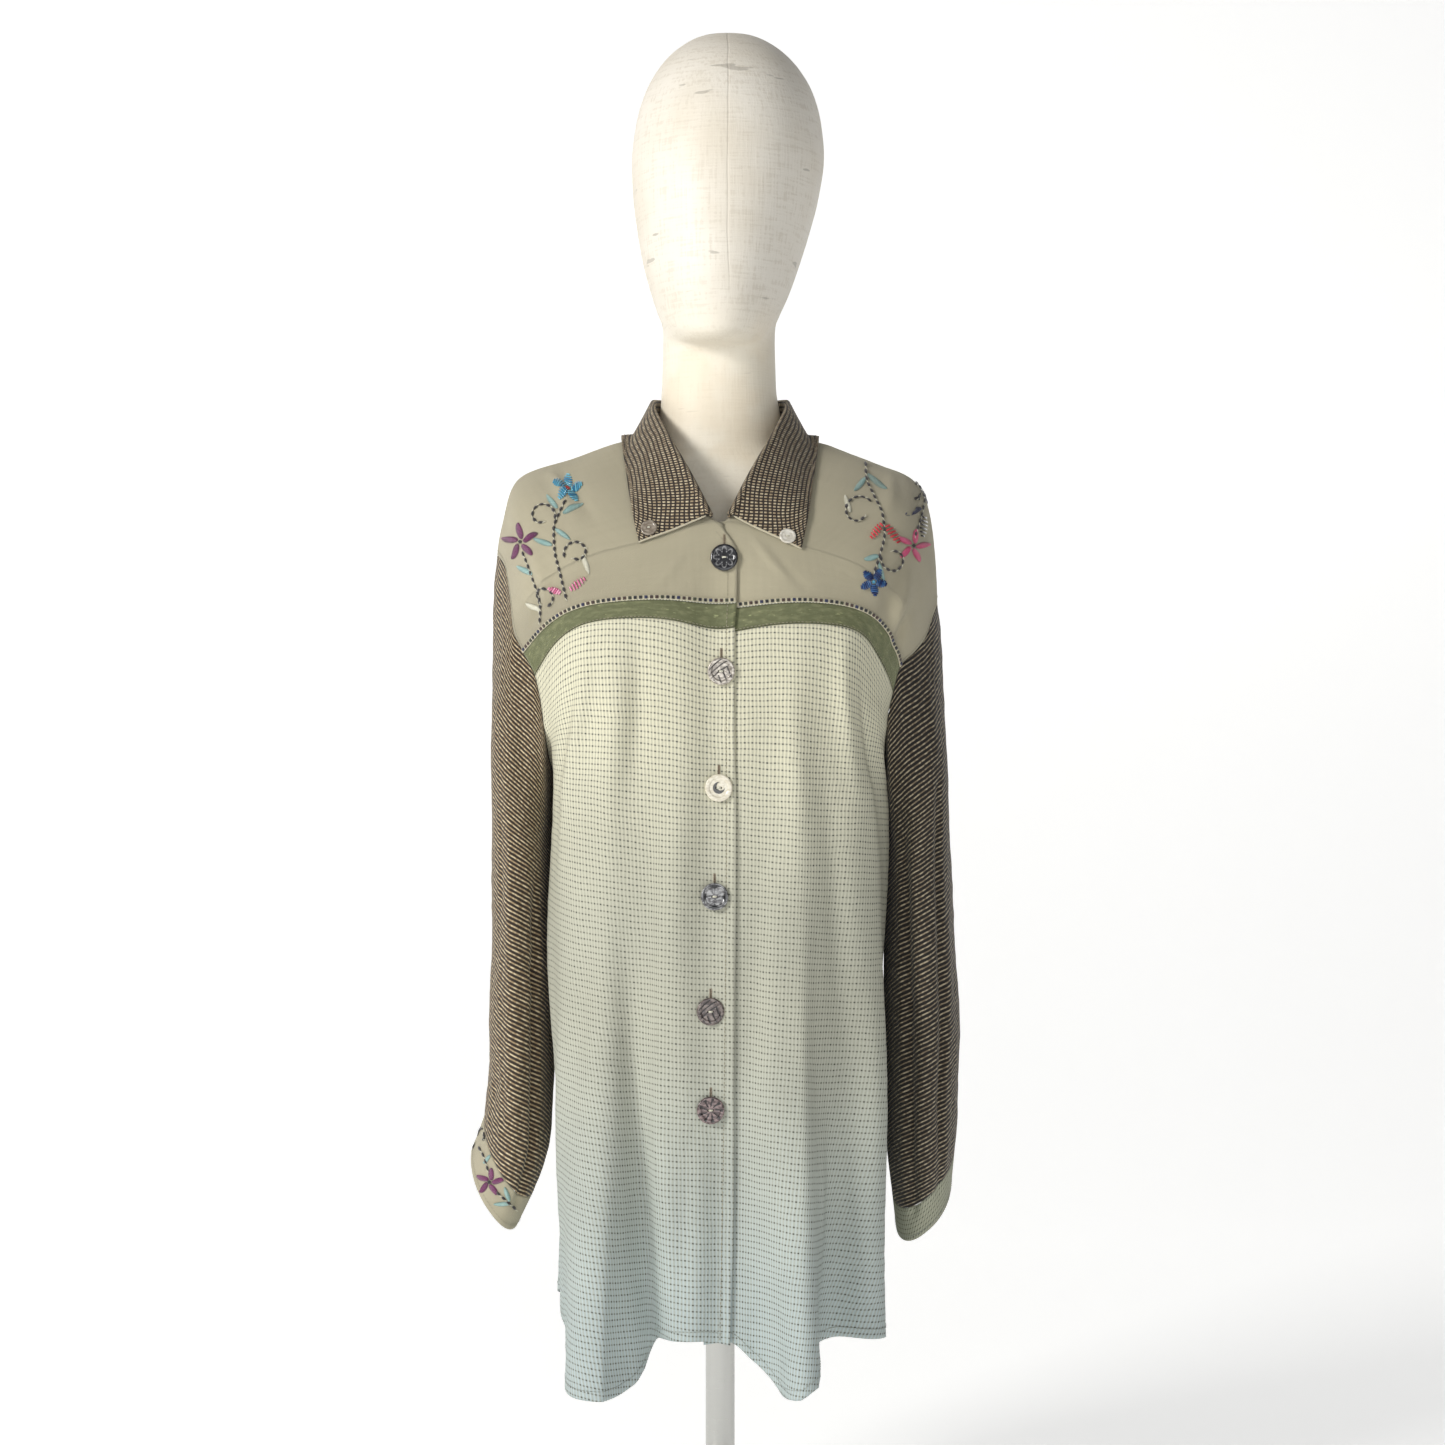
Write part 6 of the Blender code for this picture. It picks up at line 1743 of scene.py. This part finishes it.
# Each button's carving and its finish: base, mark and second tone.
SILVERY = {"roughness": 0.18, "metallic": 0.3}
BUTTON_LOOKS = {
    "button_1": (star, "black", shell("black_shell", (22, 22, 26), (150, 150, 150), (38, 38, 44))),
    "button_2": (waves, "shell",
                 shell("silver_shell", (150, 142, 132), (54, 48, 46), (214, 206, 194), 0.18, 0.35)),
    "button_3": (crescent, "shell", shell("ivory_shell", (216, 208, 186), (66, 66, 64), (236, 230, 212))),
    "button_4": (flower, "shell", shell("marbled_shell", (74, 72, 74), (24, 24, 27), (160, 160, 160), **SILVERY)),
    "button_5": (waves, "shell", shell("mauve_shell", (78, 67, 65), (28, 24, 24), (132, 120, 114), **SILVERY)),
    "button_6": (rays, "shell", shell("pink_shell", (86, 72, 72), (32, 26, 27), (146, 126, 124), **SILVERY)),
    "collar_button_right": (blank, "shell", shell("brown_shell", (126, 114, 100), (80, 70, 60), (160, 150, 136))),
    "collar_button_left": (blank, "shell",
                           shell("pale_shell", (206, 200, 186), (160, 150, 136), (228, 224, 214))),
}


def button_frame(name):
    """A modelled button's middle and its three directions, the thin one last and facing out."""
    button = bpy.data.objects[name]
    points = np.array([button.matrix_world @ vertex.co for vertex in button.data.vertices])
    middle = (points.min(axis=0) + points.max(axis=0)) / 2
    ways = np.linalg.svd(points - points.mean(axis=0))[2]
    out = ways[2] * np.sign(-ways[2][1])
    right = unit(np.cross((0, 0, 1), out) * -1)
    right = right * np.sign(right[0])
    high = (points - middle) @ out
    return middle, right, np.cross(out, right) * np.sign(np.cross(out, right)[2]), out, high.min(), high.max()


def fine_button(name, carving, slot, finish, columns=72):
    """Rings from the middle of the front, over the rim and back to the middle behind."""
    middle, right, up, out, low, high = button_frame(name)
    radius = SMALL_RADIUS if name.startswith("collar") else BUTTON_RADIUS
    thick = high - low
    front = np.linspace(CORE, FACE, FACE_RINGS)
    share = np.concatenate([front, RIM[:, 0], np.linspace(FACE, CORE, BACK_RINGS)])
    well = 1 - 0.20 * ease((0.74 - front) / 0.10) + 0.04 * ease(1 - np.abs(front - 0.84) / 0.1)
    height = np.concatenate([well, RIM[:, 1], np.zeros(BACK_RINGS)])
    angle = np.arange(columns) * 2 * math.pi / columns
    x, y = share[:, None] * np.cos(angle), share[:, None] * np.sin(angle)
    holes = np.minimum(np.hypot(x - HOLE_OFF, y), np.hypot(x + HOLE_OFF, y)) < HOLE
    facing = np.arange(len(share))[:, None] < len(front)
    marks = carving(x, y) * facing * (share[:, None] < FACE)
    lift = low + thick * np.maximum(height[:, None] - 0.05 * marks - 0.5 * holes * facing, 0)
    spread = (radius * x)[..., None] * right + (radius * y)[..., None] * up
    grid = middle + spread + lift[..., None] * out
    shade = np.append(np.clip(marks + holes * facing, 0, 1), [0, 0])
    closed_loft(f"{name}_carved", grid, finish, [name], shade)
    hole = HOLE_OFF * radius
    share = np.linspace(-1, 1, 5)
    paths = [middle + hole * share[:, None] * right + 0.0004 * off * up
             + (high - 0.18 * thick + 0.0005 * (1 - share**2))[:, None] * out for off in (-1, 0, 1)]
    return np.array(paths), np.broadcast_to(out, (3, 5, 3))


sewn = [fine_button(name, *look) for name, look in BUTTON_LOOKS.items()]
spindles("button_threads", np.concatenate([pair[0] for pair in sewn]), np.concatenate([pair[1] for pair in sewn]),
         0.0007, 0.0006, YARNS["cream"])


SLIT_FROM, SLIT_TO, SLIT_POINTS, SLIT_BARS = 0.0055, 0.0185, 14, 27
BAR_OFF, BAR_HALF = 0.0006, 0.0004


def between(values):
    """Values along a slit, read at twice as many even places for the bars beside it."""
    at = np.linspace(0, SLIT_POINTS - 1, SLIT_BARS)
    return np.stack([np.interp(at, np.arange(SLIT_POINTS), values[:, k]) for k in range(3)], -1)


def buttonholes():
    """Two rows of close stitches beside an upright slit that starts under each front button and rises past it."""
    slits, outs, paths, ups = [], [], [], []
    bar = np.linspace(-BAR_HALF, BAR_HALF, 4)[:, None]
    for k in range(1, 7):
        middle = button_frame(f"button_{k}")[0]
        share = np.linspace(SLIT_FROM, SLIT_TO, SLIT_POINTS)
        target = np.stack([np.full(SLIT_POINTS, middle[0]), middle[2] + share], -1)
        shown = CAMERA[[0, 2]] + (target - CAMERA[[0, 2]]) * (-CAMERA[1] / (middle[1] - CAMERA[1]))
        guess = (-middle[0] / CENTRE_SCALE, middle[2] - LEVEL_AND_HEIGHT)
        start = [np.full(SLIT_POINTS, value) for value in guess]
        a, b = landed(lambda a, b: plain_points(LEFT, a, b), start, shown, (-0.12, -0.8), (0.3, -0.124))
        points, out = on_body(LEFT, a, b)
        across = unit(np.cross(out, np.gradient(points, axis=0)))
        slits.append(points + 0.0002 * out)
        outs.append(out)
        for off in (-BAR_OFF, BAR_OFF):
            paths.append(between(points + off * across + 0.0004 * out)[:, None] + bar * between(across)[:, None])
            ups.append(np.repeat(between(out)[:, None], 4, axis=1))
    spindles("buttonhole_slits", np.array(slits), np.array(outs), 0.0005, 0.0004, YARNS["brown"])
    spindles("buttonhole_stitches", np.concatenate(paths), np.concatenate(ups), 0.0005, 0.0004, YARNS["tan"])


buttonholes()

# %% [markdown]
# ## The stand
#
# It is hidden or out of the picture, so it is a plain turned pole on a round foot.

# %% The pole and the base
def turned(name, profile, finish, columns=96, replaces=()):
    """A profile of (radius, height) pairs swept round the upright axis, its ends closed by fans."""
    radius, height = np.array(profile, float).T
    angle = np.arange(columns) * 2 * math.pi / columns
    shape = np.broadcast_to(height[:, None], (len(profile), columns))
    grid = np.stack([radius[:, None] * np.cos(angle), radius[:, None] * np.sin(angle), shape], axis=-1)
    return closed_loft(name, grid, finish, replaces)


def rounded(corners, radius=0.0012, steps=5):
    """An outline whose corners are cut by short curves: each corner becomes a few points round it."""
    corners = np.array(corners, float)
    made = [corners[:1]]
    for before, corner, after in zip(corners, corners[1:], corners[2:]):
        start = corner + unit(before - corner) * min(radius, np.linalg.norm(before - corner) / 2)
        end = corner + unit(after - corner) * min(radius, np.linalg.norm(after - corner) / 2)
        t = np.linspace(0, 1, steps)[:, None]
        made.append((1 - t) ** 2 * start + 2 * t * (1 - t) * corner + t**2 * end)
    return np.concatenate([*made, corners[-1:]])


def brushed_steel(name):
    """Steel turned on a lathe: fine rings that change its roughness."""
    made = Shader(name, 0.3, Metallic=1.0)
    place, x, y, z = made.place()
    rings = made.noise(place, 300.0, 2.0, (0.1, 0.1, 6))
    made.put(made.base.inputs["Roughness"], made.math("MULTIPLY_ADD", rings, 0.18, 0.22))
    return made.finish(rgb(196, 196, 192), rings, 0.00005)


steel = brushed_steel("brushed_steel")
FORM_FOOT, POLE_RADIUS, SOCKET_RADIUS = 0.3447, 0.0125, 0.030
pole = [(0.0005, FORM_FOOT), (SOCKET_RADIUS, FORM_FOOT), (SOCKET_RADIUS, FORM_FOOT - 0.010),
        (POLE_RADIUS, FORM_FOOT - 0.020), (POLE_RADIUS, 0.0223), (0.0005, 0.0223)]
base = [(0.0005, 0.022), (0.030, 0.022), (0.045, 0.0132), (0.149, 0.008), (0.155, 0.005), (0.155, 0.0),
        (0.0005, 0.0)]
turned("turned_pole", rounded(pole), steel, replaces=["pole"])
turned("turned_base", rounded(base), steel, replaces=["base"])

# %% [markdown]
# ## The studio
#
# A pale floor that curves up into a glowing backdrop, a soft key light from the front and the viewer's left that
# shows the folds, and a weaker fill from the front, so the far sleeve stays in the shade as in the photo.

# %% Floor and lights
BACKDROP_GLOW = 0.42
WORLD_LIGHT = 0.20


def build_backdrop(width=7.0, front=-3.2, back=2.6, tall=3.6, bend=1.2):
    """A strip of floor, a quarter of a circle, and a wall."""
    angle = np.linspace(0, math.pi / 2, 24)
    curve = np.stack([back - bend + bend * np.sin(angle), bend - bend * np.cos(angle)], axis=-1)
    line = np.concatenate([[[front, 0]], curve, [[back, tall]]])
    points = [(x, y, z) for x in (-width / 2, width / 2) for y, z in line]
    count = len(line)
    faces = [(i, i + count, i + count + 1, i + 1) for i in range(count - 1)]
    mesh = bpy.data.meshes.new("backdrop")
    mesh.from_pydata(points, [], faces)
    mesh.polygons.foreach_set("use_smooth", np.ones(len(faces), bool))
    white = (1, 1, 1, 1)
    paper = plain("backdrop_paper", (246, 246, 245), 0.95, Emission_Color=white, Emission_Strength=BACKDROP_GLOW)
    mesh.materials.append(paper)
    floor = bpy.data.objects.new("backdrop", mesh)
    bpy.context.scene.collection.objects.link(floor)
    return floor


def area_light(name, place, target, size, power, colour=(1, 1, 1)):
    """A square light whose own -Z axis points from its place at its target."""
    light = bpy.data.lights.new(name, "AREA")
    light.size, light.energy, light.color = size, power, colour
    lamp = bpy.data.objects.new(name, light)
    lamp.location = place
    way = np.array(target, float) - np.array(place, float)
    tilt, turn = math.atan2(math.hypot(way[0], way[1]), -way[2]), math.atan2(way[1], way[0])
    lamp.rotation_euler = (tilt, 0, turn - math.pi / 2)
    bpy.context.scene.collection.objects.link(lamp)
    return lamp


lamps = [area_light("key", (-2.5, -2.0, 2.0), (0, 0, 0.7), 1.0, 80, (1.0, 0.985, 0.96)),
         area_light("fill", (0.3, -3.4, 1.0), (0, 0, 0.8), 2.0, 20, (0.97, 0.99, 1.0))]
world = bpy.data.worlds.new("studio")
world.use_nodes = True
world.node_tree.nodes["Background"].inputs[0].default_value = (1, 1, 1, 1)
world.node_tree.nodes["Background"].inputs[1].default_value = WORLD_LIGHT
bpy.context.scene.world = world
bpy.context.scene.view_settings.view_transform = "Standard"
build_backdrop()
print("lights:", [lamp.name for lamp in lamps])
